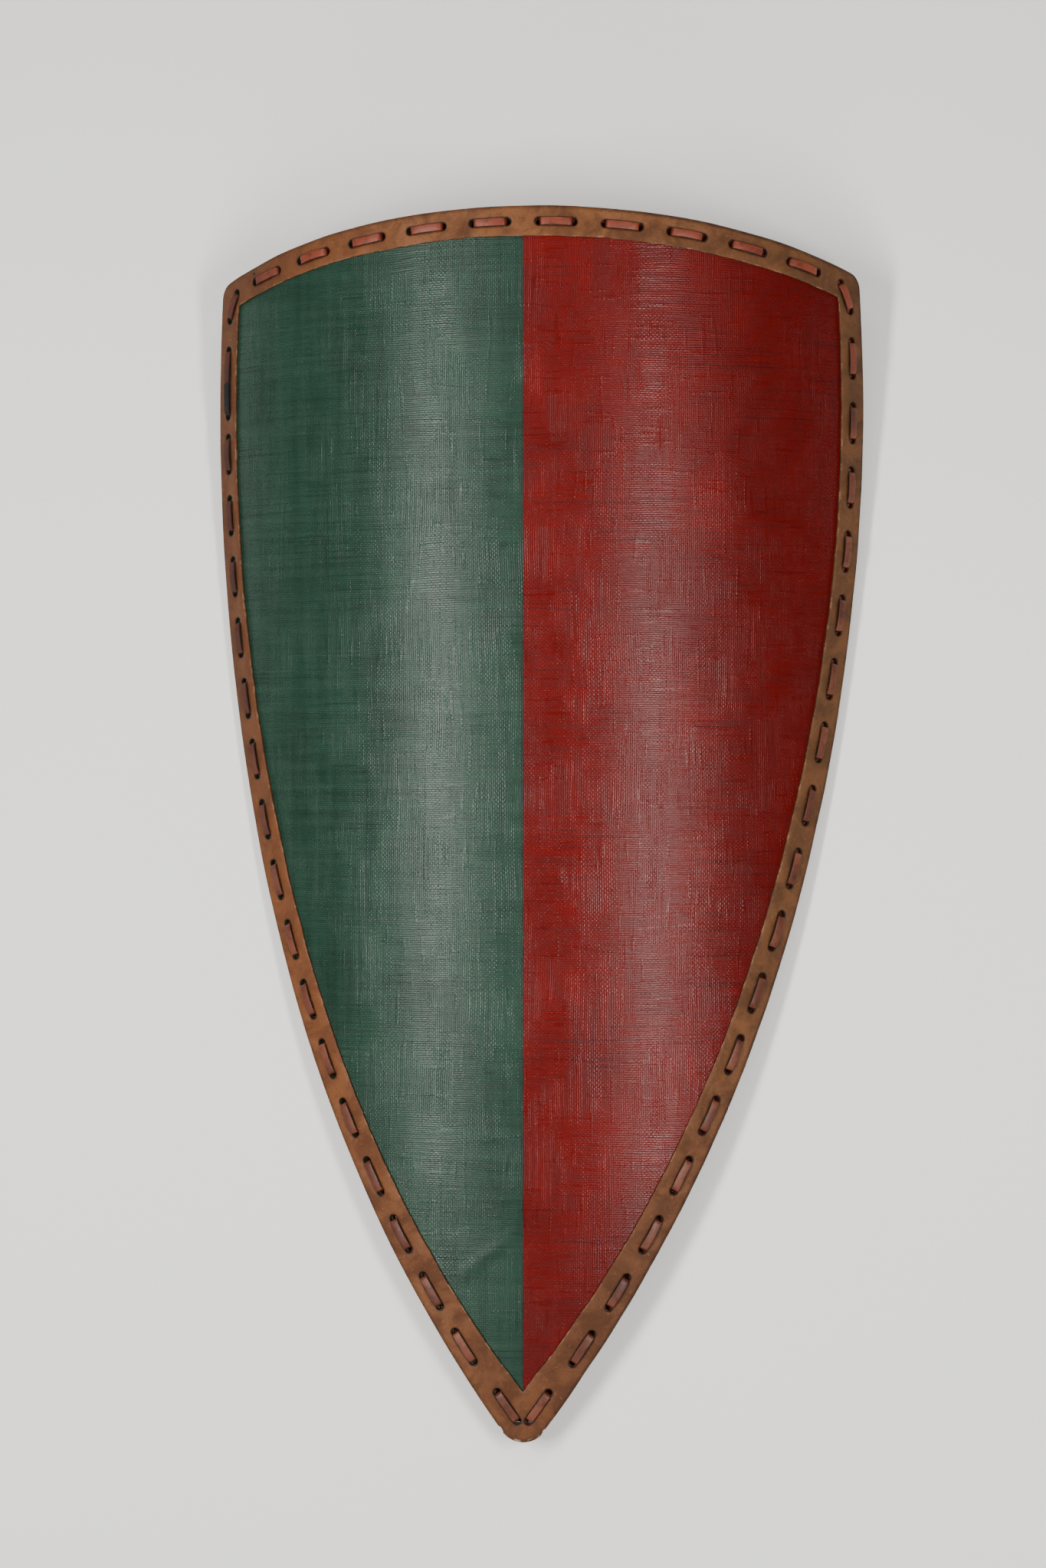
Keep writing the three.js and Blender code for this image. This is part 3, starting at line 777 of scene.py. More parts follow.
def open_tree(name, lengths):
    """A tree that takes a geometry, some lengths and a finish: its nodes and what it is given."""
    tree = bpy.data.node_groups.new(name, "GeometryNodeTree")
    sockets = {"Geometry": "Geometry", **dict.fromkeys(lengths, "Float"), "Finish": "Material"}
    for label, kind in sockets.items():
        tree.interface.new_socket(label, in_out="INPUT", socket_type="NodeSocket" + kind)
    tree.interface.new_socket("Geometry", in_out="OUTPUT", socket_type="NodeSocketGeometry")
    n = Nodes(tree)
    return n, n.add("NodeGroupInput").outputs


def close_tree(n, geometry, finish):
    real = n.geo("RealizeInstances", {"Geometry": geometry})
    done = n.geo("SetMaterial", {"Geometry": real, "Material": finish})
    n.add("NodeGroupOutput", {"Geometry": done})
    return n.tree


def lace_tree():
    """A flat lace along a line: Width across, Thickness through, with eased corners."""
    n, given = open_tree("lace_strip", ["Width", "Thickness", "Ease"])
    line = n.geo("MeshToCurve", {"Mesh": given["Geometry"]})
    level = {"Curve": line, "Normal": n.named("out", "FLOAT_VECTOR")}
    line = n.geo("SetCurveNormal", level, mode="FREE")
    line = n.geo("SetCurveRadius", {"Curve": line, "Radius": n.named("full")})
    size = {"Width": given["Thickness"], "Height": given["Width"]}
    profile = n.geo("CurvePrimitiveQuadrilateral", size, mode="RECTANGLE")
    eased = {"Curve": profile, "Radius": given["Ease"], "Count": 3}
    profile = n.geo("FilletCurve", eased, mode="POLY")
    sideways = n.math("ABSOLUTE", n.split(n.geo("InputPosition"))["Y"])
    across = n.math("DIVIDE", sideways, n.times(given["Width"], 0.5))
    kept = {"Geometry": profile, "Name": "across", "Value": across}
    profile = n.geo("StoreNamedAttribute", kept, data_type="FLOAT", domain="POINT")
    swept = {"Curve": line, "Profile Curve": profile, "Fill Caps": True}
    strip = n.geo("SetShadeSmooth", {"Geometry": n.geo("CurveToMesh", swept)})
    return close_tree(n, strip, given["Finish"])


def nail_tree():
    """Round-headed nails, one at each point, standing out of the strap along the point's out."""
    n, given = open_tree("strap_nails", ["Head Radius", "Head Height", "Shank Radius", "Shank Length"])
    ball = n.geo("MeshUVSphere", {"Segments": 28, "Rings": 16, "Radius": 1.0})
    size = n.join(given["Head Radius"], given["Head Radius"], given["Head Height"])
    head = n.geo("Transform", {"Geometry": ball, "Scale": size})
    head = n.geo("SetShadeSmooth", {"Geometry": head})
    bar = {"Vertices": 16, "Radius": given["Shank Radius"], "Depth": given["Shank Length"]}
    shank = n.geo("MeshCylinder", bar)
    half = n.join(0.0, 0.0, n.times(given["Shank Length"], -0.5))
    shank = n.geo("Transform", {"Geometry": shank, "Translation": half})
    nail = n.add("GeometryNodeJoinGeometry")
    for part in (head, shank):
        n.put(nail.inputs[0], part)
    out = n.named("out", "FLOAT_VECTOR")
    turn = n.first("FunctionNodeAlignRotationToVector", {"Vector": out}, axis="Z")
    points = n.geo("MeshToPoints", {"Mesh": given["Geometry"]})
    placed = {"Points": points, "Instance": nail.outputs[0], "Rotation": turn}
    return close_tree(n, n.geo("InstanceOnPoints", placed), given["Finish"])


def frame_out(a):
    """The way out of the painted face, at a place across the blank."""
    turn = np.asarray(a) / BEND_RADIUS
    return turned(np.stack([np.sin(turn), 0 * turn, np.cos(turn)], -1))


# How the lace runs between two holes, in millimetres: distance in from the hole, height above the face
STITCH_DIVE = [(1.2, -6.0), (1.2, -2.2), (1.15, -0.8), (1.3, 0.05), (1.9, 0.55), (3.2, 0.75), (6.0, 0.85)]
BACK_DIVE = [(-0.6, -1.0), (-0.4, 0.35), (0.4, 0.95), (2.0, 1.1)]

# Where a stitch has points between its ends, and the long one where the lace's two ends meet
STITCH_STOPS = (0.35, 0.5, 0.65)
JOIN_STOPS = (0.2, 0.35, 0.505, 0.525, 0.65, 0.8)

# How unevenly the stitches were pulled, in millimetres
STITCH_SWAY = 0.45
STITCH_SLACK = 0.8
STITCH_ARCH = (0.1, 0.5)
BACK_ARCH = 0.1

# How full the lace is, as shares of its width
STITCH_FULL = (0.8, 1.0)
SIDE_FULL = 0.77
BACK_FULL = 0.95
TAIL_FULL = 1.12
SIDE_OUT = 220 * MM

LACE_EASE = 0.55 * MM
BEHIND = -1


def lace_stations():
    """The lace's line as flat points, heights and the stitch that each belongs to, or BEHIND."""
    rows = []
    count = len(stitches)
    jitter = np.random.default_rng(SEED + 1)

    def run(start, end, dive, level, sign, arch, stops=STITCH_STOPS):
        way = end - start
        way = way / np.linalg.norm(way)
        side = np.array([-way[1], way[0]])
        sway = jitter.uniform(-STITCH_SWAY, STITCH_SWAY) * MM
        near, far = jitter.uniform(0.0, STITCH_SLACK, 2) * (sign > 0)
        first = [(start + way * (s + near) * MM, level + sign * h * MM) for s, h in dive]
        middle = []
        for t in stops:
            lift = (dive[-1][1] + arch * math.sin(math.pi * t)) * MM
            middle.append((along(start, end, t) + side * sway, level + sign * lift))
        last = [(end - way * (s + far) * MM, level + sign * h * MM) for s, h in reversed(dive)]
        return [*first, *middle, *last]

    order = [(join_at + k) % count for k in range(count)]
    for step, index in enumerate(order):
        start, end = stitches[index]
        stops = STITCH_STOPS if step else JOIN_STOPS
        front = run(start, end, STITCH_DIVE, RIM_TOP, 1, jitter.uniform(*STITCH_ARCH), stops)
        following = stitches[order[(step + 1) % count]][0]
        behind = run(end, following, BACK_DIVE, RIM_BOTTOM, -1, BACK_ARCH)
        if step == 0:
            tail = front[: len(front) // 2]
            front = front[len(front) // 2 :]
        rows += [(p, h, index) for p, h in front]
        rows += [(p, h, BEHIND) for p, h in behind]
    rows += [(p, h, join_at) for p, h in tail]
    return rows, len(tail)


def soften(rows, times):
    """Evens out a run of values, except at its two ends."""
    for _ in range(times):
        between = 0.5 * rows[1:-1] + 0.25 * (rows[:-2] + rows[2:])
        rows = np.concatenate([rows[:1], between, rows[-1:]])
    return rows


def lace_fullness(rows, tail_stations):
    """How full the lace is at each station, as a share of its width."""
    fullness = np.random.default_rng(SEED + 2).uniform(*STITCH_FULL, len(stitches))
    on_side = np.array([abs(ends[0][0]) > SIDE_OUT for ends in stitches])
    fullness = np.where(on_side, fullness * SIDE_FULL, fullness)
    full = np.array([BACK_FULL if index == BEHIND else fullness[index] for _, _, index in rows])
    full[-tail_stations:] *= TAIL_FULL
    return soften(full, 3)


def make_lace(finish):
    """The lace in one piece, its two ends meeting in the long stitch on the left."""
    rows, tail_stations = lace_stations()
    flat = np.array([p for p, _, _ in rows])
    height = np.array([h for _, h, _ in rows])
    points = soften(bend(flat[:, 0], flat[:, 1], height), 2)
    # the way across the lace stays level, so its broad side follows it through each turn
    run = np.zeros_like(points)
    for i, (_, _, index) in enumerate(rows):
        if index == BEHIND:
            run[i] = run[i - 1]
        else:
            start, end = stitches[index]
            run[i] = bend(*end, 0.0) - bend(*start, 0.0)
    across = unit(np.cross(run, frame_out(flat[:, 0])))
    normal = unit(np.cross(across, unit(np.gradient(points, axis=0))))
    steps = np.linalg.norm(np.diff(points, axis=0), axis=1)
    tail = np.zeros(len(rows))
    tail[-tail_stations:] = 1.0
    kept = {
        "out": normal,
        "travel": np.concatenate([[0], np.cumsum(steps)]),
        "tail": tail,
        "full": lace_fullness(rows, tail_stations),
    }
    seed = seed_points("lace_line", points, kept, joined=True)
    values = {"Width": LACE_WIDTH, "Thickness": LACE_THICKNESS, "Ease": LACE_EASE, "Finish": finish}
    return grow("edge_lace", seed, lace_tree(), values)


# Straps
STRAP_STEPS = 44
STRAP_ARCH_POWER = 1.5
STRAP_EASE = 0.8 * MM
EASE_STEPS = 3
STEPS_ACROSS = 8
END_ROUND = 4 * MM
END_NARROWER = 0.09


def strap_side_view(span, depth):
    """A strap's middle line in its side view: distance along the board, distance off its back."""
    rest = CLEARANCE + STRAP_LEATHER / 2
    crest = depth - STRAP_LEATHER / 2
    free = span / 2 - STRAP_END
    y = np.linspace(-span / 2, span / 2, STRAP_STEPS + 1)
    t = np.clip(np.abs(y) / free, 0, 1) ** STRAP_ARCH_POWER
    return np.stack([y, along(rest, crest, (1 + np.cos(math.pi * t)) / 2)], -1)


def strap_section(width):
    """A strap's section as rows of across and through, once round it, with eased corners."""
    w, t = width / 2 - STRAP_EASE, STRAP_LEATHER / 2 - STRAP_EASE
    quarter = np.linspace(0, math.pi / 2, EASE_STEPS + 1)
    corners = [
        on_circle((cw * w, ct * t), STRAP_EASE, quarter + k * math.pi / 2)
        for k, (cw, ct) in enumerate(((1, 1), (-1, 1), (-1, -1), (1, -1)))
    ]
    across = np.linspace(w, -w, STEPS_ACROSS + 1)[1:-1]
    top = np.stack([across, np.full(len(across), STRAP_LEATHER / 2)], -1)
    return np.concatenate([corners[0], top, *corners[1:3], -top, corners[3]])


def make_strap(name, centre, width, span, depth):
    """A strap that lies on the board's back at both ends and stands off it between them."""
    line = strap_side_view(span, depth)
    way = unit(np.gradient(line, axis=0))
    normal = np.stack([-way[:, 1], way[:, 0]], -1)
    across, through = strap_section(width).T
    marks = np.zeros((len(across), 3))
    marks[:, 0] = np.abs(across) / (width / 2)
    skin = Skin()
    loops = []
    for (y, off), (along_board, off_board) in zip(line, normal):
        end_round = max(0.0, abs(y) - (span / 2 - END_ROUND)) / END_ROUND
        a = centre + across * (1 - END_NARROWER * end_round**2)
        b = STRAPS_ABOVE_MIDDLE + y + along_board * through
        h = -BOARD_THICKNESS - (off + off_board * through)
        loops.append(skin.add(np.stack([a, b], -1), h, marks))
    for first, second in zip(loops, loops[1:]):
        skin.wall(first, second)
    skin.faces += [loops[0][::-1].tolist(), loops[-1].tolist()]
    made = skin.mesh(name, 50)
    turn_outward(made)
    return made


def turn_outward(piece):
    """Makes the faces of a closed piece point outward."""
    work = bmesh.new()
    work.from_mesh(piece.data)
    bmesh.ops.recalc_face_normals(work, faces=work.faces)
    if work.calc_volume(signed=True) < 0:
        bmesh.ops.reverse_faces(work, faces=work.faces)
    work.to_mesh(piece.data)
    work.free()


def make_nails(finish):
    points, outs = [], []
    for centre, strap in ((STRAP_OUT, FOREARM), (-STRAP_OUT, GRIP)):
        for end in (-1, 1):
            b = STRAPS_ABOVE_MIDDLE + end * (strap["span"] / 2 - STRAP_END / 2)
            h = -BOARD_THICKNESS - CLEARANCE - STRAP_LEATHER
            points.append(bend(centre, b, h))
            outs.append(-frame_out(centre))
    seed = seed_points("nail_places", np.array(points), {"out": np.array(outs)}, joined=False)
    values = {
        "Head Radius": 6.4 * MM,
        "Head Height": 2.6 * MM,
        "Shank Radius": 1.9 * MM,
        "Shank Length": 8.0 * MM,
        "Finish": finish,
    }
    return grow("strap_nails", seed, nail_tree(), values)


# Effects that the finishes share
def paint(red, green, blue):
    """A colour as the eye reads it, 0 to 255, as the shader wants it."""
    values = [c / 255 for c in (red, green, blue)]
    return (*[c / 12.92 if c <= 0.04045 else ((c + 0.055) / 1.055) ** 2.4 for c in values], 1.0)


def new_group(name, values, results):
    """A shader group that takes a Place and some values: its nodes, what it is given and its results."""
    group = bpy.data.node_groups.new(name, "ShaderNodeTree")
    group.interface.new_socket("Place", in_out="INPUT", socket_type="NodeSocketVector")
    for label, default in values.items():
        socket = group.interface.new_socket(label, in_out="INPUT", socket_type="NodeSocketFloat")
        socket.default_value = default
    for label in results:
        group.interface.new_socket(label, in_out="OUTPUT", socket_type="NodeSocketFloat")
    n = Nodes(group)
    return n, n.add("NodeGroupInput").outputs, n.add("NodeGroupOutput").inputs


def weave_group():
    """Plain-woven canvas under paint: its height, the recesses that the finish darkens with dark paint and
    painted shade, and long streaks.
    """
    n, given, out = new_group("canvas_weave", {"Pitch": 1.75 * MM}, ("Height", "Recess", "Streak"))
    a, b, _ = n.split(given["Place"])

    # threads by number, with the cloth pulled a little out of square
    u = n.math("MULTIPLY_ADD", n.drawn(a, b, 14, 7, 1.0, 3), 5.0, n.math("DIVIDE", a, given["Pitch"]))
    v = n.math("MULTIPLY_ADD", n.drawn(a, b, 6, 13, 7.0, 3), 6.0, n.math("DIVIDE", b, given["Pitch"]))
    sin_u, sin_v = (n.math("SINE", n.times(number, math.pi)) for number in (u, v))

    def thread(sine, number, length, waves, seed):
        """How high a thread stands, round across it and by turns full and thin along it."""
        slow = n.drawn(number, length, 0.62, waves, seed, 1)
        quick = n.drawn(number, length, 0.9, 9 * waves, seed)
        life = n.ramp(n.plus(n.times(slow, 0.6), n.times(quick, 0.4)), 0.36, 0.62)
        return n.times(n.math("ABSOLUTE", sine), n.math("MULTIPLY_ADD", life, 0.7, 0.34))

    def hairlines(across, up, seed):
        """Thin gaps between threads, long one way and crisp the other, in patches."""
        lines = n.ramp(n.drawn(a, b, across, up, seed, 2, 0.6), 0.56, 0.62)
        return n.times(lines, n.ramp(n.drawn(a, b, 10, 10, seed + 3, 3), 0.38, 0.6))

    def slubs(number, length, seed, most):
        """Thick places, a few centimetres long, in some of the threads."""
        return n.ramp(n.drawn(number, length, 0.42, 24.0, seed, 1), 0.6, 0.7, 0.0, most)

    warp, weft = thread(sin_u, u, b, 12.0, 3.0), thread(sin_v, v, a, 14.0, 5.0)
    # warp and weft pass over in turn, and in patches one of them stays uppermost
    patch = n.ramp(n.drawn(a, b, 26, 17, 11.0, 3, 0.6), 0.36, 0.64, -0.55, 0.45)
    warp_over = n.ramp(n.math("MULTIPLY_ADD", sin_u, sin_v, patch), -0.3, 0.3)
    height = n.plus(n.times(warp, warp_over), n.times(weft, n.minus(1.0, warp_over)))
    gaps = n.math("MAXIMUM", hairlines(9, 560, 21.0), n.times(hairlines(560, 11, 31.0), 0.5))
    # the recesses and the gaps between threads, darkened in the finish as dark paint and painted shade
    n.put(out["Recess"], n.math("MAXIMUM", n.ramp(height, 0.42, 0.06), n.times(gaps, 0.85)))
    height = n.minus(height, n.times(gaps, 0.15))
    n.put(out["Height"], n.plus(height, n.plus(slubs(u, b, 2.0, 0.45), slubs(v, a, 8.0, 0.5))))
    streaks = n.plus(n.drawn(a, b, 95, 4.5, 0.0, 4, 0.6), n.drawn(a, b, 6, 110, 5.0, 4, 0.6))
    n.put(out["Streak"], n.times(streaks, 0.5))
    return n.tree


def hide_group():
    """Leather: a pebbled grain height, a slow mottle and a fine scuff."""
    values = {"Grain": 900.0, "Mottle Scale": 60.0}
    n, given, out = new_group("hide_grain", values, ("Height", "Mottle", "Scuff"))
    place = given["Place"]
    cells = {"Vector": place, "Scale": given["Grain"]}
    cells = n.add("ShaderNodeTexVoronoi", cells, feature="SMOOTH_F1").outputs["Distance"]
    height = n.plus(n.times(cells, -0.45), n.times(n.noise(place, 700.0, 4, 0.6), 0.6))
    n.put(out["Height"], n.plus(height, n.times(n.noise(place, 2600.0, 3, 0.6), 0.35)))
    n.put(out["Mottle"], n.noise(place, given["Mottle Scale"], 6, 0.62, 0.6))
    n.put(out["Scuff"], n.noise(place, 330.0, 6, 0.7))
    return n.tree


def dirt_and_shade_group():
    """Dirt and painted shade that gather where the piece's own wear mark is high, broken up by a noise."""
    n, given, out = new_group("gathered_dirt_and_shade", {"Mark": 0.0, "Spread": 0.5}, ("Mask",))
    breakup = n.times(n.minus(n.noise(given["Place"], 240.0, 5, 0.65), 0.5), 0.7)
    level = n.plus(given["Mark"], breakup)
    n.put(out["Mask"], n.ramp(level, n.minus(1.0, given["Spread"]), 1.0))
    return n.tree


WEAVE, HIDE, DIRT_AND_SHADE = weave_group(), hide_group(), dirt_and_shade_group()


# Finishes
def new_material(name, specular, metallic=0.0):
    material = bpy.data.materials.new(name)
    material.use_nodes = True
    shader = material.node_tree.nodes["Principled BSDF"]
    shader.inputs["Specular IOR Level"].default_value = specular
    shader.inputs["Metallic"].default_value = metallic
    return material, Nodes(material.node_tree), shader


def coat_shader(n, shader, colour, roughness, height=None, depth=0.0):
    n.put(shader.inputs["Base Color"], colour)
    n.put(shader.inputs["Roughness"], roughness)
    if height is not None:
        relief = {"Height": height, "Distance": depth, "Strength": 1.0}
        n.put(shader.inputs["Normal"], n.first("ShaderNodeBump", relief))


def use(n, group, inputs):
    return n.add("ShaderNodeGroup", inputs, node_tree=group).outputs


def attribute(n, name, output="Vector"):
    return n.add("ShaderNodeAttribute", attribute_name=name).outputs[output]


def object_place(n):
    return n.add("ShaderNodeTexCoord").outputs["Object"]


def board_finish():
    """Green and red paint over canvas in front, bare wood behind and along the edge."""
    material, n, shader = new_material("painted_canvas", 0.22)
    place = attribute(n, "blank")
    a, b, h = n.split(place)
    weave = use(n, WEAVE, {"Place": place})
    patches = n.ramp(n.drawn(a, b, 14, 9, 2.0, 4, 0.55), 0.26, 0.74)
    streak = n.ramp(weave["Streak"], 0.36, 0.64)

    green = n.mix(patches, paint(24, 47, 38), paint(33, 61, 49))
    green = n.coats(green, (streak, 0.55, (45, 73, 59)))
    # painted shade: the red darkened towards the right; it is also darker towards the bottom
    rightward, lowdown = n.ramp(a, 0.12, 0.25), n.ramp(b, -0.22, -0.4)
    red = n.coats(
        n.mix(patches, paint(92, 8, 7), paint(111, 10, 8)),
        (streak, 0.3, (92, 14, 13)),
        (rightward, 0.45, (70, 7, 6)),
        (lowdown, 0.35, (76, 7, 6)),
    )

    wander = n.minus(n.noise(n.join(0.0, b), 140.0, 3), 0.5)
    from_seam = n.plus(a, n.times(wander, 1.6 * MM))
    is_red = n.ramp(from_seam, -0.35 * MM, 0.35 * MM)
    seam = n.ramp(n.math("ABSOLUTE", n.plus(from_seam, 0.4 * MM)), 1.3 * MM, 0.2 * MM)
    broken = n.ramp(n.noise(n.join(0.0, b, 4.0), 60.0, 3), 0.3, 0.7, 0.15, 0.8)
    colour = n.coats(n.mix(is_red, green, red), (seam, broken, (26, 32, 40)))
    # the weave's recesses darkened: dark paint and painted shade
    wash_and_recess_shade = n.mix(is_red, paint(13, 26, 23), paint(40, 5, 5))
    colour = n.mix(n.times(weave["Recess"], 0.6), colour, wash_and_recess_shade)

    grain = n.drawn(a, b, 260, 7, 1.0, 5, 0.6, 0.8)
    pores = n.ramp(n.drawn(a, b, 1700, 40), 0.62, 0.75)
    wood = n.mix(n.ramp(grain, 0.3, 0.7), paint(140, 104, 68), paint(176, 140, 98))
    wood = n.coats(wood, (pores, 0.5, (92, 66, 42)))

    is_front = n.ramp(h, -2.2 * MM, -1.6 * MM)
    is_wood = n.minus(1.0, is_front)
    gloss = n.ramp(n.plus(weave["Height"], n.times(patches, 0.12)), 0.1, 0.9, 0.39, 0.25)
    roughness = n.plus(gloss, n.ramp(is_front, 1, 0, 0, 0.25))
    height = n.plus(n.times(weave["Height"], is_front), n.times(is_wood, n.times(grain, 0.3)))
    coat_shader(n, shader, n.mix(is_front, wood, colour), roughness, height, 0.12 * MM)
    return material


def rim_finish():
    """Waxed leather, redder on the left, with painted shade on the folds, beside the laces and along the
    outer edge, and grime with painted shade round the holes.
    """
    material, n, shader = new_material("rim_leather", 0.22)
    place = attribute(n, "blank")
    wear, press, from_edge = n.split(attribute(n, "marks"))
    a, b, h = n.split(place)
    hide = use(n, HIDE, {"Place": place, "Grain": 850.0, "Mottle Scale": 42.0})
    # grime and painted shade round the holes
    dirt_and_shade = use(n, DIRT_AND_SHADE, {"Place": place, "Mark": wear, "Spread": 0.5})["Mask"]

    def broken(scale, detail, roughness, low, high, least=0.0):
        return n.ramp(n.noise(place, scale, detail, roughness), low, high, least)

    mottle = n.ramp(hide["Mottle"], 0.34, 0.66)
    leftward, rightward = n.ramp(a, -0.05, -0.28), n.ramp(a, 0.05, 0.28)
    lowdown, low_strength = n.ramp(b, -0.15, -0.45), n.ramp(a, -0.05, 0.1, 0.35, 0.7)
    upper_left = n.times(n.ramp(a, -0.15, -0.26), n.ramp(b, -0.15, 0.15))
    scuff = n.ramp(hide["Scuff"], 0.58, 0.70)
    cut = n.math("MULTIPLY", wear, -1.0, clamp=True)
    frayed = n.times(broken(120.0, 4, 0.7, 0.5, 0.62), n.ramp(cut, 0.35, 0.8))
    # painted shade in the grooves beside the laces
    beside = n.times(n.ramp(press, 0.15, 0.9), broken(300.0, 3, 0.5, 0.3, 0.6, 0.6))
    # painted shade along the outer edge, stronger on the right
    painted_edge_shade = n.times(n.ramp(from_edge, 0.42, 0.12), broken(130.0, 4, 0.6, 0.3, 0.6, 0.4))
    tip_end = n.times(n.ramp(b, -0.49, -0.498), n.ramp(from_edge, 0.3, 0.1))
    tip_end = n.times(tip_end, broken(160.0, 4, 0.5, 0.42, 0.55))
    # painted shade over the fold and the back lip, where the leather turns away
    fold = n.ramp(h, RIM_TOP - 0.35 * MM, RIM_TOP - 1.9 * MM)
    colour = n.coats(
        n.mix(mottle, paint(82, 47, 24), paint(118, 72, 39)),
        (leftward, 0.5, (106, 58, 32)),
        (rightward, 0.5, (76, 54, 36)),
        (lowdown, low_strength, (72, 39, 21)),
        (upper_left, 0.4, (58, 42, 30)),
        (broken(26.0, 5, 0.6, 0.55, 0.75), 0.3, (62, 40, 25)),
        (broken(560.0, 4, 0.65, 0.57, 0.68), 0.5, (48, 29, 18)),
        (scuff, 0.35, (142, 98, 64)),
        (dirt_and_shade, 0.85, (30, 18, 12)),
        (frayed, 0.6, (144, 112, 82)),
        (beside, 0.85, (26, 15, 10)),
        (painted_edge_shade, n.ramp(a, -0.05, 0.2, 0.35, 0.75), (36, 22, 15)),
        (tip_end, 0.8, (168, 146, 122)),
        (fold, 0.75, (38, 24, 16)),
    )
    roughness = n.ramp(hide["Mottle"], 0.3, 0.7, 0.68, 0.52)
    coat_shader(n, shader, colour, roughness, hide["Height"], 0.16 * MM)
    return material


def lace_finish():
    """Reddish waxed leather, redder along the top, darker down the left side, darker along both sides as
    edge tone and painted shade, black at its tail.
    """
    material, n, shader = new_material("lace_leather", 0.32)
    travel, tail, across = (attribute(n, name, "Fac") for name in ("travel", "tail", "across"))
    place = object_place(n)
    x, y, _ = n.split(place)
    hide = use(n, HIDE, {"Place": place, "Grain": 1500.0, "Mottle Scale": 120.0})
    each = n.ramp(n.noise(n.join(n.times(travel, 22), 0.0), 1.0, 1), 0.35, 0.65)
    upward, leftward = n.ramp(y, 0.36, 0.42), n.ramp(x, -0.2, -0.25)
    colour = n.coats(
        n.mix(each, paint(82, 40, 27), paint(116, 62, 43)),
        (upward, 0.7, (132, 58, 40)),
        (leftward, 0.72, (52, 22, 15)),
        (n.ramp(hide["Mottle"], 0.45, 0.7), 0.6, (50, 23, 16)),
        (n.ramp(hide["Scuff"], 0.58, 0.72), 0.3, (134, 72, 54)),
        # darker along both sides: the leather's edge tone and painted shade
        (n.ramp(across, 0.78, 1.0), 0.7, (26, 13, 9)),
        (tail, 1.0, (12, 8, 7)),
    )
    roughness = n.plus(n.ramp(hide["Scuff"], 0.3, 0.7, 0.36, 0.52), n.times(leftward, 0.3))
    coat_shader(n, shader, colour, roughness, hide["Height"], 0.12 * MM)
    return material


def strap_finish():
    """Plain brown leather with darkened edges and a creased line along each of them."""
    material, n, shader = new_material("strap_leather", 0.45)
    edge = n.split(attribute(n, "marks"))["X"]
    hide = use(n, HIDE, {"Place": attribute(n, "blank"), "Grain": 800.0, "Mottle Scale": 50.0})
    crease_line = n.ramp(n.math("ABSOLUTE", n.minus(edge, 0.84)), 0.03, 0.0)
    colour = n.coats(
        n.mix(n.ramp(hide["Mottle"], 0.35, 0.65), paint(78, 48, 30), paint(118, 76, 46)),
        (n.ramp(edge, 0.9, 0.98), 0.7, (40, 25, 17)),
        (crease_line, 0.6, (44, 28, 18)),
    )
    roughness = n.ramp(hide["Scuff"], 0.3, 0.7, 0.42, 0.6)
    height = n.minus(hide["Height"], n.times(crease_line, 1.4))
    coat_shader(n, shader, colour, roughness, height, 0.2 * MM)
    return material


def brass_finish():
    """Brass with a brown tarnish."""
    material, n, shader = new_material("nail_brass", 0.5, metallic=1.0)
    tarnish = n.noise(object_place(n), 420.0, 5, 0.65)
    colour = n.mix(n.ramp(tarnish, 0.4, 0.65), paint(190, 150, 78), paint(120, 88, 46))
    roughness = n.ramp(tarnish, 0.3, 0.7, 0.26, 0.5)
    coat_shader(n, shader, colour, roughness, tarnish, 0.08 * MM)
    return material


def floor_finish():
    material, n, shader = new_material("pale_floor", 0.1)
    shade = n.noise(object_place(n), 3.0, 3, 0.5)
    coat_shader(n, shader, n.mix(shade, paint(250, 250, 250), paint(253, 253, 252)), 0.9)
    return material


# Building
def dress(piece, finish, slot, *nodes):
    piece.data.materials.clear()
    piece.data.materials.append(finish)
    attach(piece, "root")
    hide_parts(*nodes)


dress(make_board(), board_finish(), "painted_canvas_board", "board")
dress(make_rim(), rim_finish(), "rim_leather", "rim")
lace_leather = lace_finish()
dress(make_lace(lace_leather), lace_leather, "lace_leather", "lace")
strap_leather = strap_finish()
forearm_strap = make_strap("forearm_strap_leather", STRAP_OUT, **FOREARM)
dress(forearm_strap, strap_leather, "strap_leather", "forearm_strap")
hand_grip = make_strap("hand_grip_leather", -STRAP_OUT, **GRIP)
dress(hand_grip, strap_leather, "strap_leather", "hand_grip")
brass = brass_finish()
dress(
    make_nails(brass),
    brass,
    "nail_brass",
    "forearm_strap_nail_lower",
    "forearm_strap_nail_upper",
    "hand_grip_nail_lower",
    "hand_grip_nail_upper",
)

# The floor
FLOOR_SIDE = 7.0
floor_mesh = bpy.data.meshes.new("floor")
corners = [(x * FLOOR_SIDE, y * FLOOR_SIDE, 0) for x, y in ((-1, -1), (1, -1), (1, 1), (-1, 1))]
floor_mesh.from_pydata(corners, [], [(0, 1, 2, 3)])
floor_mesh.materials.append(floor_finish())
in_scene("floor", floor_mesh)

# The camera stands square over the lying shield, a little to its right
CAMERA_DISTANCE = 2.75
CAMERA_YAW = math.radians(6.5)
CAMERA_UP = 32.2 * MM
FOCAL_PIXELS = 4450
FRAME_HEIGHT = 2047
SENSOR = 36.0


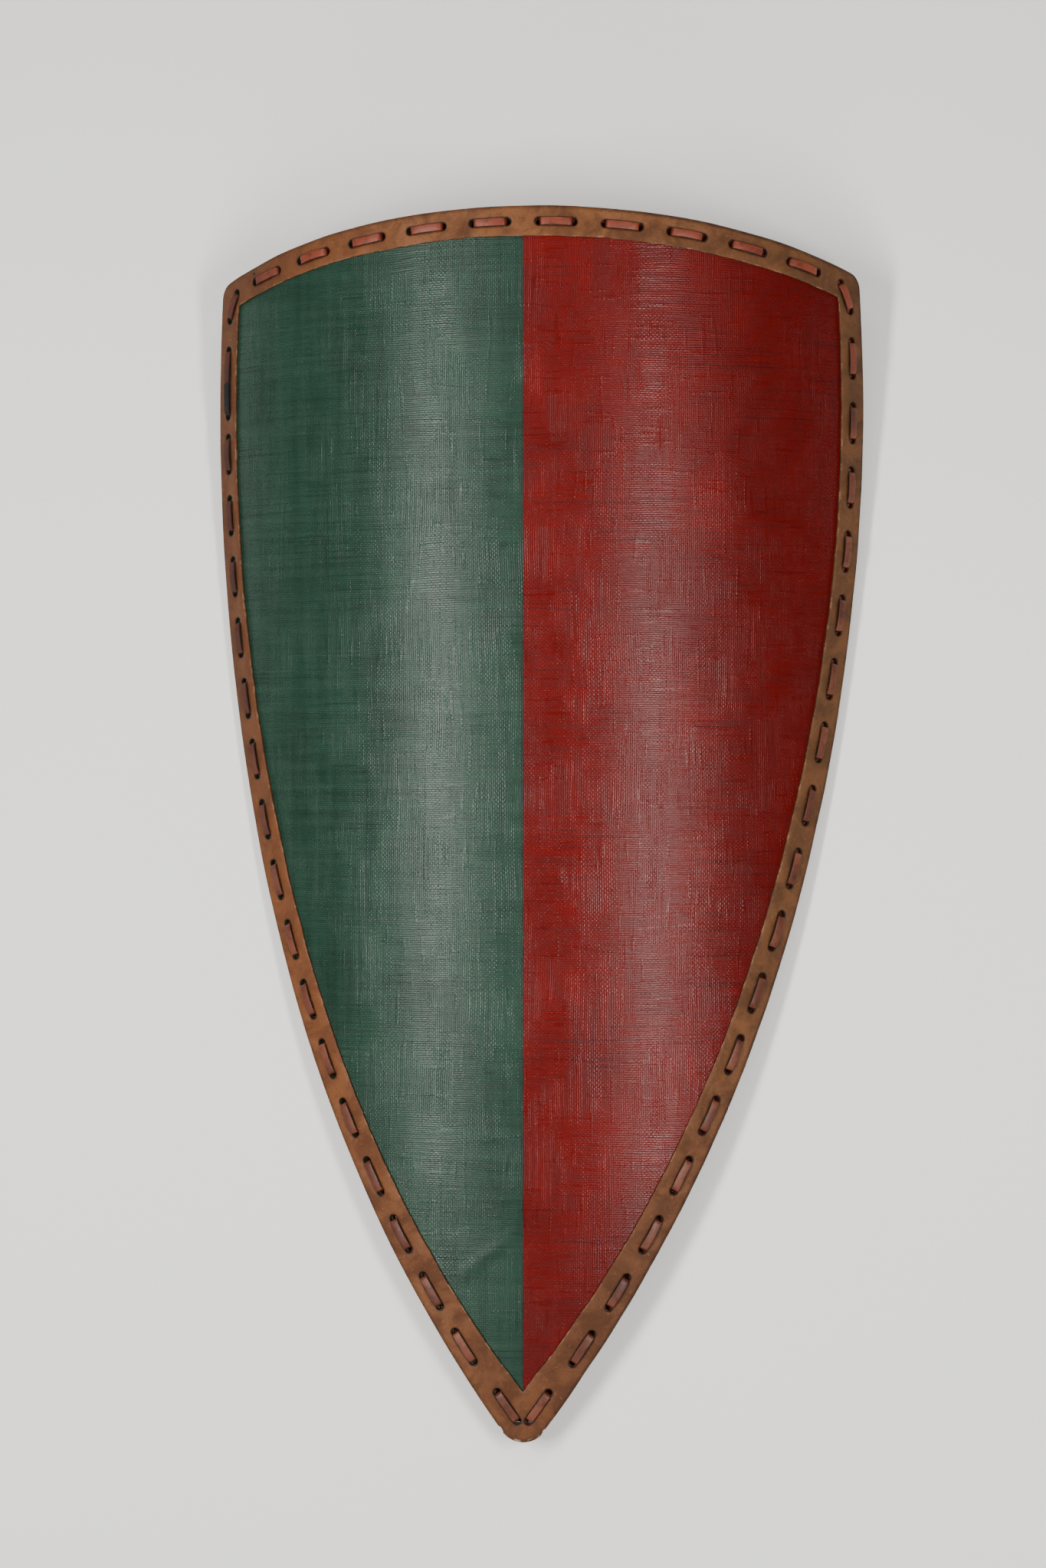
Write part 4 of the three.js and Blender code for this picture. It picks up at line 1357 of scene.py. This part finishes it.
def stand(name, data, place, target):
    """Puts a lamp or camera at a place of the bent shield's frame, looking at a target there."""
    made = in_scene(name, data)
    place, target = lay(np.array(place)), lay(np.array(target))
    back = Vector(place - target).normalized()
    right = Vector(turned(np.array((0.0, 1.0, 0.0)))).cross(back).normalized()
    turn = Matrix((right, back.cross(right), back)).transposed()
    made.matrix_world = Matrix.Translation(place) @ turn.to_4x4()
    return made


def over(distance, angle, up):
    """A place at a distance from the shield's middle line, turned from its face towards one side."""
    return distance * math.sin(angle), up, distance * math.cos(angle)


lens = bpy.data.cameras.new("camera")
lens.sensor_width = SENSOR
lens.lens = FOCAL_PIXELS * SENSOR / FRAME_HEIGHT
lens.clip_end = 50
camera_place = over(CAMERA_DISTANCE, CAMERA_YAW, CAMERA_UP)
bpy.context.scene.camera = stand("camera", lens, camera_place, (0, CAMERA_UP, 0))

# Light: two long strips that the bend mirrors as bright bands, and a broad fill past each end
STRIP_DISTANCE = 2.0
STRIP_ANGLE = math.radians(31.5)
STRIP_COLOUR = (1.0, 0.98, 0.92)
FILL_OUT, FILL_UP, FILL_SIZE, FILL_POWER = 2.6, 2.2, (2.4, 1.2), 24
WORLD_STRENGTH = 0.1


def lamp(name, place, target, size, power, colour=(1, 1, 1)):
    data = bpy.data.lights.new(name, "AREA")
    data.shape = "RECTANGLE"
    data.size, data.size_y = size
    data.energy = power
    data.color = colour
    stand(name, data, place, target)


for name, side, up, size, power in (
    ("left_strip", -1, 0.09, (0.30, 1.27), 43),
    ("right_strip", 1, -0.05, (0.28, 1.0), 31),
):
    lamp(name, over(STRIP_DISTANCE, side * STRIP_ANGLE, up), (0, up, 0), size, power, STRIP_COLOUR)
for name, side in (("top_fill", 1), ("tip_fill", -1)):
    lamp(name, (0, side * FILL_OUT, FILL_UP), (0, 0, 0), FILL_SIZE, FILL_POWER)

world = bpy.data.worlds.new("studio")
bpy.context.scene.world = world
world.use_nodes = True
world.node_tree.nodes["Background"].inputs["Color"].default_value = (1.0, 1.0, 1.0, 1.0)
world.node_tree.nodes["Background"].inputs["Strength"].default_value = WORLD_STRENGTH
